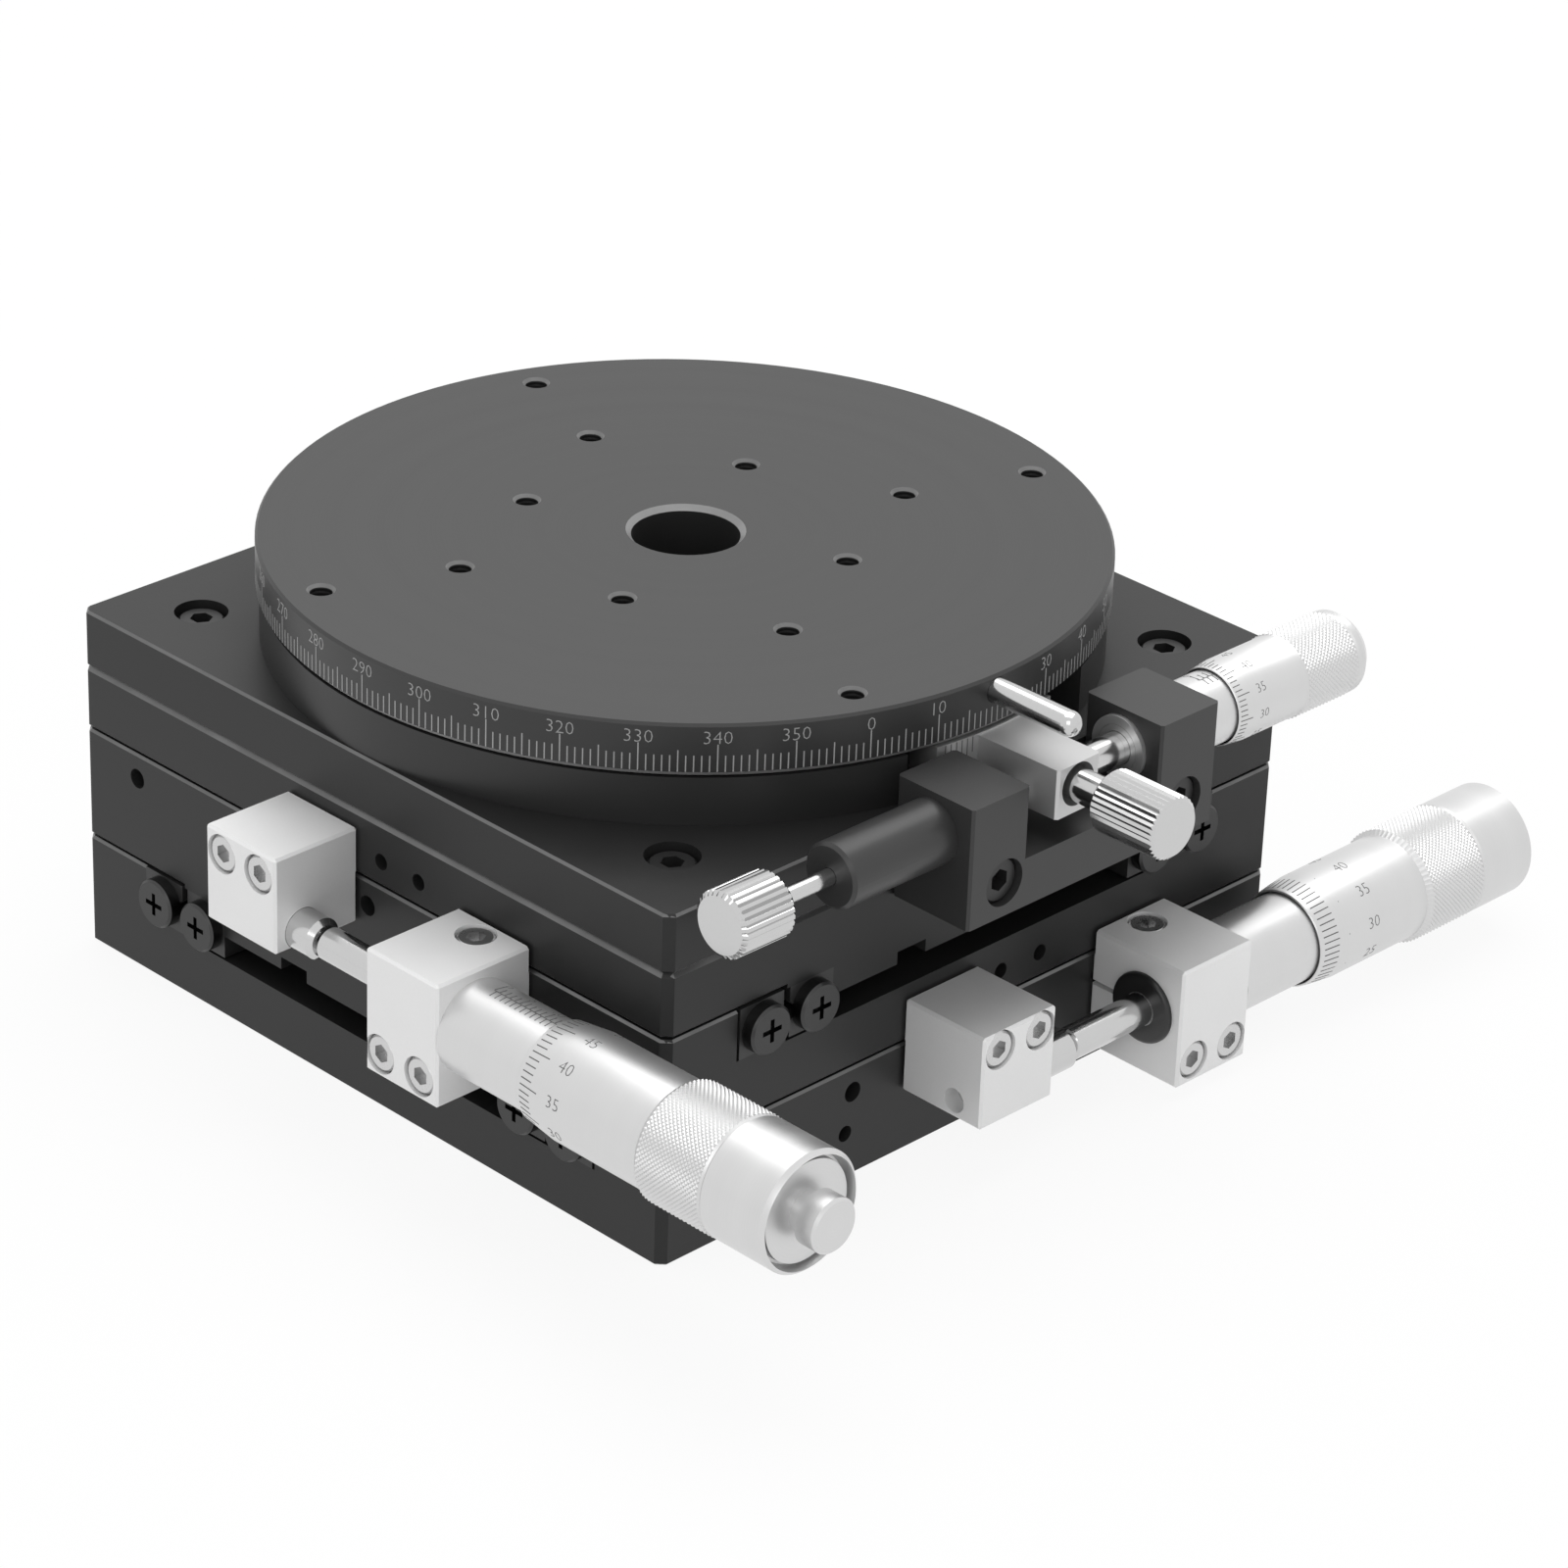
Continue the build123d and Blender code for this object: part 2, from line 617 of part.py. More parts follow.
def middle_plate():
    """Middle plate: tongue along Y below, channel along X above."""
    blank = square_plate(MIDDLE_BOTTOM, MIDDLE_TOP, EDGE, EDGE) + tongue_blank(LOWER_SEAT, "Y")
    low = LOWER_SEAT + RAIL_H - TONGUE_DROP
    plate = blank & swept(tongue_outline(LOWER_SEAT, MIDDLE_TOP), "Y", HALF)
    plate = plate & swept(channel_outline(low, MIDDLE_TOP, UPPER_SEAT, -1), "X", HALF)
    plate = bore_rows(plate, X_HOLDER_SCREWS, "Y", SCREW_BITE + HOLE_SPARE, CAP3_R + SCREW_PLAY)
    plate = bore_rows(plate, Y_CONTACT_SCREWS, "X", SCREW_BITE + HOLE_SPARE, CAP3_R + SCREW_PLAY)
    spare = (tuple(-place for place in Y_CONTACT_SCREWS[0]), Y_CONTACT_SCREWS[1])
    plate = bore_rows(plate, spare, "X", SPARE_DEPTH, SPARE_R)
    for place in X_GRUBS:
        height = UPPER_SEAT + RAIL_H / 2
        plate -= rod("Y", -HALF, -GUIDE_OUT, GRUB_R + HOLE_PLAY, place, height)
    return plate + slide_posts("Y", LOWER_SEAT)[1] + slide_posts("X", UPPER_SEAT)[0]


def upper_plate():
    """Upper plate: tongue along X below, flat on top for the rotary stage."""
    blank = square_plate(UPPER_BOTTOM, UPPER_TOP, EDGE, SEAM_EDGE) + tongue_blank(UPPER_SEAT, "X")
    plate = blank & swept(tongue_outline(UPPER_SEAT, UPPER_TOP), "X", HALF)
    plate = bore_rows(plate, X_CONTACT_SCREWS, "Y", SCREW_BITE + HOLE_SPARE, CAP3_R + SCREW_PLAY)
    spare = (tuple(-place for place in X_CONTACT_SCREWS[0]), X_CONTACT_SCREWS[1])
    plate = bore_rows(plate, spare, "Y", SPARE_DEPTH, SPARE_R)
    for x in (-1, 1):
        for y in (-1, 1):
            where = (x * CORNER_PITCH / 2, y * CORNER_PITCH / 2)
            plate -= rod("Z", UPPER_TOP - 2 * CAP4_HEAD_H, UPPER_TOP, CAP4_R + SCREW_PLAY, *where)
    return plate + slide_posts("X", UPPER_SEAT)[1]


def rotary_plate():
    """Square plate of the rotary stage, with the bearing's seat and the corner holes."""
    plate = square_plate(UPPER_TOP, ROTARY_TOP, SEAM_EDGE, EDGE)
    plate -= rod("Z", RACE_BOTTOM, ROTARY_TOP, RACE_OUTER_R)
    plate -= rod("Z", UPPER_TOP, RACE_BOTTOM, HUB_RING_R + HUB_RING_CLEAR)
    for x in (-1, 1):
        for y in (-1, 1):
            where = (x * CORNER_PITCH / 2, y * CORNER_PITCH / 2)
            plate -= rod("Z", ROTARY_TOP - CORNER_SINK_D, ROTARY_TOP, CORNER_SINK_R, *where)
            plate -= rod("Z", UPPER_TOP, ROTARY_TOP, CAP4_R + SCREW_PLAY, *where)
    for place in BRACKET_SCREW_Y:
        where = (place, BRACKET_SCREW_Z)
        plate -= rod("X", HALF - 2 * CAP4_HEAD_H - HOLE_SPARE, HALF, CAP4_R + SCREW_PLAY, *where)
    for x, y in retainer_screw_places():
        plate -= rod("Z", ROTARY_TOP - SCREW_BITE, ROTARY_TOP, CAP3_R + SCREW_PLAY, x, y)
    return plate


def retainer_screw_places():
    """Where the screws of the bearing's retaining ring stand."""
    radius = (RACE_OUTER_R + RETAINER_R) / 2
    angles = [2 * pi * (index + 0.5) / RETAINER_SCREWS for index in range(RETAINER_SCREWS)]
    return [(radius * cos(angle), radius * sin(angle)) for angle in angles]


def face_block(limits, axis, relieved_above, relief_level):
    """A bevelled block on a plate's face, cut back where it passes the neighbouring plate."""
    xs, ys, zs = limits
    solid = chamfer(block(xs, ys, zs).edges(), BLOCK_EDGE)
    heights = (relief_level, zs[1]) if relieved_above else (zs[0], relief_level)
    if axis == "Y":
        return solid - block(xs, (ys[1] - BLOCK_RELIEF, ys[1]), heights)
    return solid - block((xs[0], xs[0] + BLOCK_RELIEF), ys, heights)


def sink_holes(solid, screws, limits, axis):
    """Counterbored holes for a block's screws, sunk from its outer face."""
    places, height = screws
    xs, ys = limits[0], limits[1]
    for place in places:
        if axis == "Y":
            solid -= rod("Y", ys[0], ys[0] + SINK_DEPTH, SINK_R, place, height)
            solid -= rod("Y", ys[0], ys[1], CAP3_R + SCREW_PLAY, place, height)
        else:
            solid -= rod("X", xs[1] - SINK_DEPTH, xs[1], SINK_R, place, height)
            solid -= rod("X", xs[0], xs[1], CAP3_R + SCREW_PLAY, place, height)
    return solid


def block_screws(screws, limits, axis):
    """The cap screws that hold a block on its plate."""
    places, height = screws
    xs, ys = limits[0], limits[1]
    solids = []
    for place in places:
        if axis == "Y":
            length = ys[1] - ys[0] - SINK_DEPTH + SCREW_BITE
            solids.append(facing((place, ys[0] + SINK_DEPTH, height), (0, -1, 0), cap3(length)))
        else:
            length = xs[1] - xs[0] - SINK_DEPTH + SCREW_BITE
            solids.append(facing((xs[1] - SINK_DEPTH, place, height), (1, 0, 0), cap3(length)))
    return solids


def contact_block(limits, screws, axis, level, relieved_above, centre):
    """A block that carries an anvil pin; its own travel is along the other horizontal axis."""
    solid = face_block(limits, axis, relieved_above, level)
    solid = sink_holes(solid, screws, limits, axis)
    along = "X" if axis == "Y" else "Y"
    front, back = (limits[0][1], limits[0][0]) if axis == "Y" else (limits[1][1], limits[1][0])
    solid -= rod(along, front - ANVIL_DEPTH, front, ANVIL_R + HOLE_PLAY, *centre)
    return solid - rod(along, back, front - ANVIL_DEPTH, ANVIL_BACK_R, *centre)


def anvil(limits, axis, centre):
    """The hardened pin that the spindle pushes on, with a bevelled end."""
    along = "X" if axis == "Y" else "Y"
    front = limits[0][1] if axis == "Y" else limits[1][1]
    end = front + ANVIL_OUT
    start = front - ANVIL_DEPTH
    bevel = ANVIL_R / 4
    profile = [(start, 0), (start, ANVIL_R), (end - bevel, ANVIL_R), (end, ANVIL_R - bevel), (end, 0)]
    return turned(profile, along, *centre)


def holder_block(limits, screws, axis, level, centre):
    """A split clamping block for a micrometer head's stem."""
    solid = face_block(limits, axis, True, level)
    solid = sink_holes(solid, screws, limits, axis)
    xs, ys, zs = limits
    height = centre[1]
    slit = (height - SLIT / 2, height + SLIT / 2)
    top = zs[1]
    if axis == "Y":
        solid -= rod("X", xs[0], xs[1], STEM_R + HOLE_PLAY, *centre)
        solid -= block(xs, (centre[0], ys[1]), slit)
    else:
        solid -= rod("Y", ys[0], ys[1], STEM_R + HOLE_PLAY, *centre)
        solid -= block((xs[0], centre[0]), ys, slit)
    where = clamp_place(limits, axis)
    solid -= rod("Z", top - SINK_DEPTH, top, SINK_R, *where)
    return solid - rod("Z", height - SCREW_BITE, top, CAP3_R + SCREW_PLAY, *where)


def clamp_place(limits, axis):
    """Where a holder's clamp screw stands, seen from above: beside the stem, by the plate."""
    xs, ys = limits[0], limits[1]
    if axis == "Y":
        return ((xs[0] + xs[1]) / 2, ys[1] - CLAMP_INSET)
    return (xs[0] + CLAMP_INSET, (ys[0] + ys[1]) / 2)


def clamp_screw(limits, axis, height):
    """The screw that closes a holder's slit."""
    head = limits[2][1] - SINK_DEPTH
    x, y = clamp_place(limits, axis)
    return facing((x, y, head), (0, 0, 1), cap3(head - height + SCREW_BITE - SINK_DEPTH / 2))


def thimble(head, mark, axis, a, b):
    """A thimble: bevelled front edge, band for the knurl, hollow over the sleeve."""
    bore = head.sleeve_r + THIMBLE_PLAY
    inner = head.spindle_r + SPINDLE_PLAY
    floor = mark + head.length - head.rim_recess
    rise = head.band_r - head.thimble_r
    blind = mark + head.spindle_end + THIMBLE_PLAY
    profile = [
        (mark, bore), (mark, head.thimble_r - THIMBLE_BEVEL),
        (mark + THIMBLE_BEVEL, head.thimble_r), (mark + head.band_from, head.thimble_r),
        (mark + head.band_from + rise, head.band_r),
        (mark + head.length - head.end_bevel, head.band_r), (mark + head.length, head.end_r),
    ]
    if head.rim_recess:
        inset = head.end_r - head.end_bevel
        profile += [(mark + head.length, inset), (floor, inset)]
    profile += [
        (floor, 0), (blind, 0), (blind, inner), (mark + head.cavity, inner),
        (mark + head.cavity, bore),
    ]
    return turned(profile, axis, a, b)


def domed_rod(axis, tip, end, radius, a, b):
    """A rod from its slightly rounded tip to its flat end."""
    away = 1 if end > tip else -1
    middle = tip + away * (TIP_DOME_R - sqrt(TIP_DOME_R**2 - radius**2 / 4))
    edge = tip + away * (TIP_DOME_R - sqrt(TIP_DOME_R**2 - radius**2))
    dome = ThreePointArc((0, tip), (radius / 2, middle), (radius, edge))
    sides = Polyline((radius, edge), (radius, end), (0, end), (0, tip))
    solid = revolve(make_face([dome, sides]), Axis.Y)
    if axis == "X":
        return Pos(0, a, b) * Rot(0, 0, -90) * solid
    return Pos(a, 0, b) * solid


def spindle(head, mark, axis, a, b):
    """A spindle, from its tip into the thimble's end."""
    return domed_rod(axis, mark - head.reach, mark + head.spindle_end, head.spindle_r, a, b)


def large_sleeve(mark, block_front, block_back, axis, a, b):
    """A graduated sleeve with the stem that its holder block clamps."""
    rear = mark + LARGE.sleeve_inside
    bore = LARGE.spindle_r + SPINDLE_PLAY
    front = block_front - NUT_T
    profile = [
        (front, bore), (front, STEM_NUT_R), (block_front, STEM_NUT_R), (block_front, STEM_R),
        (block_back, STEM_R), (block_back, LARGE.sleeve_r), (rear, LARGE.sleeve_r), (rear, bore),
    ]
    return turned(profile, axis, a, b)


def button(mark, axis, a, b):
    """The friction button at a large thimble's end."""
    floor = mark + LARGE.length - LARGE.rim_recess
    root = mark + LARGE.length + BUTTON_OUT
    face = root + BUTTON_H
    bevel = BUTTON_R / 10
    profile = [
        (floor, 0), (floor, BUTTON_NECK_R), (root, BUTTON_NECK_R), (root, BUTTON_R),
        (face - bevel, BUTTON_R), (face, BUTTON_R - bevel), (face, 0),
    ]
    return turned(profile, axis, a, b)


def knurled(radius, start, end, axis, a, b, groove=None):
    """A straight-knurled knob between two places on its axis."""
    points = []
    for index in range(2 * KNURLS):
        reach = radius if index % 2 else radius - KNURL_DEPTH
        angle = pi * index / KNURLS
        points.append((reach * cos(angle), reach * sin(angle)))
    length = end - start
    solid = extrude(make_face(Polyline(*points, close=True)), length)
    turn = Rot(0, 90, 0) if axis == "X" else Rot(-90, 0, 0)
    place = Pos(start, a, b) if axis == "X" else Pos(a, start, b)
    bevel = 2 * KNURL_DEPTH
    profile = [(start, 0), (start, radius - bevel), (start + bevel, radius)]
    if groove:
        low, high, depth = groove
        profile += [(low, radius), (low, radius - depth), (high, radius - depth), (high, radius)]
    profile += [(end - bevel, radius), (end, radius - bevel), (end, 0)]
    return (place * turn * solid) & turned(profile, axis, a, b)


def v_race(outer):
    """One ring of the dial's crossed-roller bearing, with its V-shaped raceway."""
    middle = (RACE_BOTTOM + RACE_TOP) / 2
    apex = (BEARING_ROLLER_D / 2 + ROLLER_PLAY) * sqrt(2)
    mouth = apex - RACE_GAP / 2
    hand = 1 if outer else -1
    face = RACE_MIDDLE_R + hand * RACE_GAP / 2
    back = RACE_OUTER_R if outer else RACE_INNER_R
    tip = face + hand * mouth
    profile = [
        (RACE_BOTTOM, back), (RACE_BOTTOM, face), (middle - mouth, face), (middle, tip),
        (middle + mouth, face), (RACE_TOP, face), (RACE_TOP, back),
    ]
    return turned(profile, "Z")


def bearing_rollers():
    """The crossed rollers between the bearing's rings, leaning in and out by turns."""
    rollers = []
    middle = (RACE_BOTTOM + RACE_TOP) / 2
    for index in range(BEARING_ROLLERS):
        lean = 45 if index % 2 else -45
        piece = roller((RACE_MIDDLE_R, 0, middle), lean, BEARING_ROLLER_D, BEARING_ROLLER_L)
        rollers.append(Rot(0, 0, 360 * index / BEARING_ROLLERS) * piece)
    return rollers


def bearing_retainer():
    """The ring that holds the outer race down, with sunk screw holes."""
    lip_r = RACE_OUTER_R - RETAINER_LIP
    top = RACE_TOP + RETAINER_LIP_T
    profile = [
        (ROTARY_TOP, RACE_OUTER_R + HOLE_PLAY), (ROTARY_TOP, RETAINER_R), (top, RETAINER_R),
        (top, lip_r), (RACE_TOP, lip_r), (RACE_TOP, RACE_OUTER_R + HOLE_PLAY),
    ]
    ring = turned(profile, "Z")
    sink = RETAINER_SCREW_HEAD_R - CAP3_R
    for x, y in retainer_screw_places():
        cone = [(ROTARY_TOP, 0), (ROTARY_TOP, CAP3_R + SCREW_PLAY)]
        cone += [(top - sink, CAP3_R + SCREW_PLAY), (top, RETAINER_SCREW_HEAD_R + SCREW_PLAY)]
        ring -= turned(cone + [(top, 0)], "Z", x, y)
    return ring


def retainer_screws():
    """Countersunk screws of the bearing's retaining ring."""
    top = RACE_TOP + RETAINER_LIP_T
    sink = RETAINER_SCREW_HEAD_R - CAP3_R
    low = ROTARY_TOP - SCREW_BITE + HOLE_SPARE
    solids = []
    for x, y in retainer_screw_places():
        profile = [(low, 0), (low, CAP3_R), (top - sink, CAP3_R), (top, RETAINER_SCREW_HEAD_R), (top, 0)]
        recess = extrude(RegularPolygon(CAP3_R / 2, 6, major_radius=False), -sink)
        solids.append(turned(profile, "Z", x, y) - Pos(x, y, top) * recess)
    return solids


def dial_plate():
    """The graduated table: rim, threaded holes, boss for the clamping ring and bearing hub."""
    shoulder = RACE_INNER_R + RACE_SHOULDER
    rim = [(DIAL_TOP - DIAL_EDGE, DIAL_R), (DIAL_BOTTOM + DIAL_RIM_EDGE, DIAL_R)]
    profile = [(DIAL_TOP - BORE_EDGE, BORE_R), (DIAL_TOP, BORE_R + BORE_EDGE)]
    profile += [(DIAL_TOP, DIAL_R - DIAL_EDGE)] + rim
    profile += [(DIAL_BOTTOM, DIAL_R - DIAL_RIM_EDGE), (DIAL_BOTTOM, BOSS_R)]
    profile += [(BOSS_BOTTOM, BOSS_R), (BOSS_BOTTOM, shoulder), (RACE_TOP, shoulder)]
    profile += [(RACE_TOP, RACE_INNER_R), (RACE_BOTTOM, RACE_INNER_R), (RACE_BOTTOM, BORE_R)]
    plate = turned(profile, "Z")
    mouth = TAP_MOUTH_R - TAP_R
    cutter = [(DIAL_TOP - TAP_DEPTH, 0), (DIAL_TOP - TAP_DEPTH, TAP_R), (DIAL_TOP - mouth, TAP_R)]
    cutter += [(DIAL_TOP, TAP_MOUTH_R), (DIAL_TOP, 0)]
    for radius, turn in hole_circles():
        for quarter in range(4):
            angle = radians(turn + 90 * quarter)
            plate -= turned(cutter, "Z", radius * cos(angle), radius * sin(angle))
    return plate - rod("X", PIN_FROM, DIAL_R + OVERCUT, PIN_R + HOLE_PLAY, 0, DIAL_TOP - PIN_Z_BELOW_TOP)


def hole_circles():
    """Radius and turn of the three rings of four threaded holes in the dial."""
    return [
        (SQUARE_INNER / sqrt(2), PATTERN_TURN + DIAGONAL),
        (CROSS_HOLES_R, PATTERN_TURN),
        (SQUARE_OUTER / sqrt(2), PATTERN_TURN + DIAGONAL),
    ]


def handle_pin():
    """The polished pin in the dial's rim that turns it by hand."""
    height = DIAL_TOP - PIN_Z_BELOW_TOP
    shank = rod("X", PIN_FROM + HOLE_PLAY, PIN_TO - PIN_R, PIN_R, 0, height)
    return shank + Pos(PIN_TO - PIN_R, 0, height) * Sphere(PIN_R)


def drum_ring():
    """The drum under the dial, open where the tangent arm comes out."""
    inner = DRUM_R - DRUM_WALL
    ring = tube("Z", ROTARY_TOP, ROTARY_TOP + DRUM_H, DRUM_R, inner)
    return ring - sector(2 * DRUM_R, WINDOW_FROM, WINDOW_TO, ROTARY_TOP, DIAL_BOTTOM)


def sector(radius, start, end, low, high):
    """A wedge about the Z axis between two angles in degrees."""
    points = [(0, 0)]
    for angle in (start, (start + end) / 2, end):
        points.append((radius * cos(radians(angle)), radius * sin(radians(angle))))
    return Pos(0, 0, low) * extrude(make_face(Polyline(*points, close=True)), high - low)


def clamp_ring():
    """The ring that grips the dial's boss through the lock shoe."""
    bottom = ROTARY_TOP + DIAL_GAP
    ring = tube("Z", bottom, ROTARY_TOP + DRUM_H, RING_R, BOSS_R + RING_PLAY)
    return ring - rod("X", BOSS_R / 2, RING_R + OVERCUT, LOCK_SCREW_R + HOLE_PLAY, LOCK_Y, LOCK_Z)


def tangent_arm():
    """The radial arm with its vernier segment, fitted to the clamping ring."""
    top = ROTARY_TOP + DRUM_H
    low = ROTARY_TOP + ARM_CLEAR
    half = ARM_W / 2
    arm = block((RING_R - ARM_ROOT, ARM_END), (-half, half), (low, top - ARM_TOP_DROP / 2))
    foot = block((ARM_FOOT_FROM, ARM_END), (-half, half), (ROTARY_TOP - ARM_FOOT_DROP, low))
    arm = Rot(0, 0, ARM_TURN) * chamfer((arm + foot).edges().filter_by(Axis.Z), BLOCK_EDGE)
    segment = tube("Z", low, top, VERNIER_R, RING_R)
    segment = segment & sector(2 * VERNIER_R, VERNIER_FROM, VERNIER_TO, low, top)
    solid = arm + segment - rod("Z", low - OVERCUT, top + OVERCUT, RING_R)
    solid -= rod("X", RING_R / 2, ARM_END + OVERCUT, LOCK_SCREW_R + HOLE_PLAY, LOCK_Y, LOCK_Z)
    return solid - rod("X", ARM_END - LOCK_SINK_D, ARM_END + OVERCUT, LOCK_SINK_R, LOCK_Y, LOCK_Z)


def lock_shoe():
    """The brass shoe that the lock screw presses on the dial's boss."""
    start = BOSS_R + SEAT_GAP
    return rod("X", start, start + SHOE_L, LOCK_SCREW_R, LOCK_Y, LOCK_Z)


def lock_knob():
    """The lock screw in one piece with its knurled knob."""
    start = BOSS_R + 2 * SEAT_GAP + SHOE_L
    neck = LOCK_KNOB_FROM
    screw = rod("X", start, ARM_END - LOCK_SINK_D / 2, LOCK_SCREW_R, LOCK_Y, LOCK_Z)
    screw += rod("X", ARM_END - LOCK_SINK_D / 2, neck, LOCK_NECK_R, LOCK_Y, LOCK_Z)
    return screw + knurled(LOCK_KNOB_R, neck, LOCK_KNOB_TO, "X", LOCK_Y, LOCK_Z)


def fine_bracket():
    """The U-shaped bracket that carries the small head and the spring plunger."""
    left, left_in, right_in, right = BRACKET_Y
    low, saddle, top = BRACKET_Z
    solid = block((HALF, BRACKET_OUT), (left, right), (low, top))
    solid -= block((HALF, BRACKET_OUT), (left_in, right_in), (saddle, top))
    solid = chamfer(solid.edges().filter_by(Axis.Z), BLOCK_EDGE)
    solid -= rod("Y", left, left_in, PLUNGER_THREAD_R + HOLE_PLAY, FINE_X, FINE_Z)
    solid -= rod("Y", right_in, right, BUSH_R + HOLE_PLAY, FINE_X, FINE_Z)
    for place in BRACKET_SCREW_Y:
        where = (place, BRACKET_SCREW_Z)
        solid -= rod("X", BRACKET_OUT - BRACKET_SINK, BRACKET_OUT, CAP4_HEAD_R + SCREW_PLAY, *where)
        solid -= rod("X", HALF, BRACKET_OUT, CAP4_R + SCREW_PLAY, *where)
    return solid


def bracket_screws():
    """The two cap screws that hold the bracket on the rotary stage's plate."""
    head = BRACKET_OUT - BRACKET_SINK
    length = head - HALF + 2 * CAP4_HEAD_H
    points = [(head, place, BRACKET_SCREW_Z) for place in BRACKET_SCREW_Y]
    return [facing(point, (1, 0, 0), cap4(length)) for point in points]


def fine_bush():
    """The bright bush round the small head's stem, in the bracket's right arm."""
    start = BRACKET_Y[2] - BUSH_OUT
    return tube("Y", start, BRACKET_Y[3], BUSH_R, BUSH_STEM_R + HOLE_PLAY, FINE_X, FINE_Z)


def fine_sleeve():
    """The small head's sleeve and stem."""
    start = BRACKET_Y[2] - BUSH_OUT
    bore = SMALL.spindle_r + SPINDLE_PLAY
    rear = FINE_MARK + SMALL.sleeve_inside
    profile = [
        (start, bore), (start, BUSH_STEM_R), (BRACKET_Y[3], BUSH_STEM_R),
        (BRACKET_Y[3], SMALL.sleeve_r), (rear, SMALL.sleeve_r), (rear, bore),
    ]
    return turned(profile, "Y", FINE_X, FINE_Z)


def plunger_housing():
    """The spring plunger's body, screwed into the bracket's left arm."""
    left, left_in = BRACKET_Y[0], BRACKET_Y[1]
    front = left_in - PLUNGER_SET_BACK
    bore = PLUNGER_PIN_R + HOLE_PLAY
    floor = PLUNGER_END + PLUNGER_WALL
    rod_bore = PLUNGER_ROD_R + HOLE_PLAY
    bevel = PLUNGER_WALL / 5
    profile = [
        (PLUNGER_END, rod_bore), (PLUNGER_END, PLUNGER_R - bevel),
        (PLUNGER_END + bevel, PLUNGER_R), (left, PLUNGER_R), (left, PLUNGER_THREAD_R),
        (front, PLUNGER_THREAD_R), (front, bore), (floor, bore), (floor, rod_bore),
    ]
    return turned(profile, "Y", FINE_X, FINE_Z)


def plunger_tip():
    """Where the plunger's pin ends at rest, a seat gap off the arm."""
    return ARM_FACE - ARM_HALF_Y - SEAT_GAP


def plunger_rod():
    """The plunger's pin with its rounded tip and the rod behind it."""
    tip = plunger_tip()
    back = tip - PLUNGER_PIN_L
    rod_end = PULL_KNOB[1] - PULL_KNOB_BORE
    pin = domed_rod("Y", tip, back, PLUNGER_PIN_R, FINE_X, FINE_Z)
    return pin + rod("Y", rod_end, back, PLUNGER_ROD_R, FINE_X, FINE_Z)


def plunger_spring():
    """The plunger's spring between its pin and the housing's back wall."""
    start = PLUNGER_END + PLUNGER_WALL + SEAT_GAP
    end = plunger_tip() - PLUNGER_PIN_L - SEAT_GAP
    inner = PLUNGER_SPRING_R - PLUNGER_SPRING_WIRE
    return tube("Y", start, end, PLUNGER_SPRING_R, inner, FINE_X, FINE_Z)


def plunger_knob():
    """The knurled pull knob on the plunger's rod, with a groove behind its end disc."""
    low, high = PULL_KNOB
    groove = (low + PULL_KNOB_DISC, low + PULL_KNOB_DISC + PULL_KNOB_GROOVE, 2 * KNURL_DEPTH)
    knob = knurled(PULL_KNOB_R, low, high, "Y", FINE_X, FINE_Z, groove)
    bore = rod("Y", high - PULL_KNOB_BORE, high, PLUNGER_ROD_R + HOLE_PLAY, FINE_X, FINE_Z)
    return knob - bore


def build_slides():
    """Both slides: plates, guides, springs, blocks and their screws."""
    keep("base_plate", base_plate())
    keep("middle_plate", middle_plate())
    keep("upper_plate", upper_plate())
    for axis, seat in (("Y", LOWER_SEAT), ("X", UPPER_SEAT)):
        name = axis.lower()
        keep(name + "_outer_rails", *[rail(side, True, seat, axis) for side in (-1, 1)])
        keep(name + "_inner_rails", *[rail(side, False, seat, axis) for side in (-1, 1)])
        strips, rollers = cages(seat, axis)
        keep(name + "_cages", *strips)
        keep(name + "_rollers", *rollers)
        keep(name + "_return_spring", return_spring(axis, seat))
    keep("base_rail_screws", *end_screws(True, LOWER_SEAT, "Y"))
    keep("middle_rail_screws", *end_screws(False, LOWER_SEAT, "Y"))
    keep("middle_rail_screws", *end_screws(True, UPPER_SEAT, "X"))
    keep("upper_rail_screws", *end_screws(False, UPPER_SEAT, "X"))
    grub = grub_screw(HALF - GUIDE_OUT - GRUB_RECESS)
    for place in Y_GRUBS:
        point = (HALF - GRUB_RECESS, place, LOWER_SEAT + RAIL_H / 2)
        keep("base_rail_screws", facing(point, (1, 0, 0), grub))
    for place in X_GRUBS:
        point = (place, -HALF + GRUB_RECESS, UPPER_SEAT + RAIL_H / 2)
        keep("middle_rail_screws", facing(point, (0, -1, 0), grub))


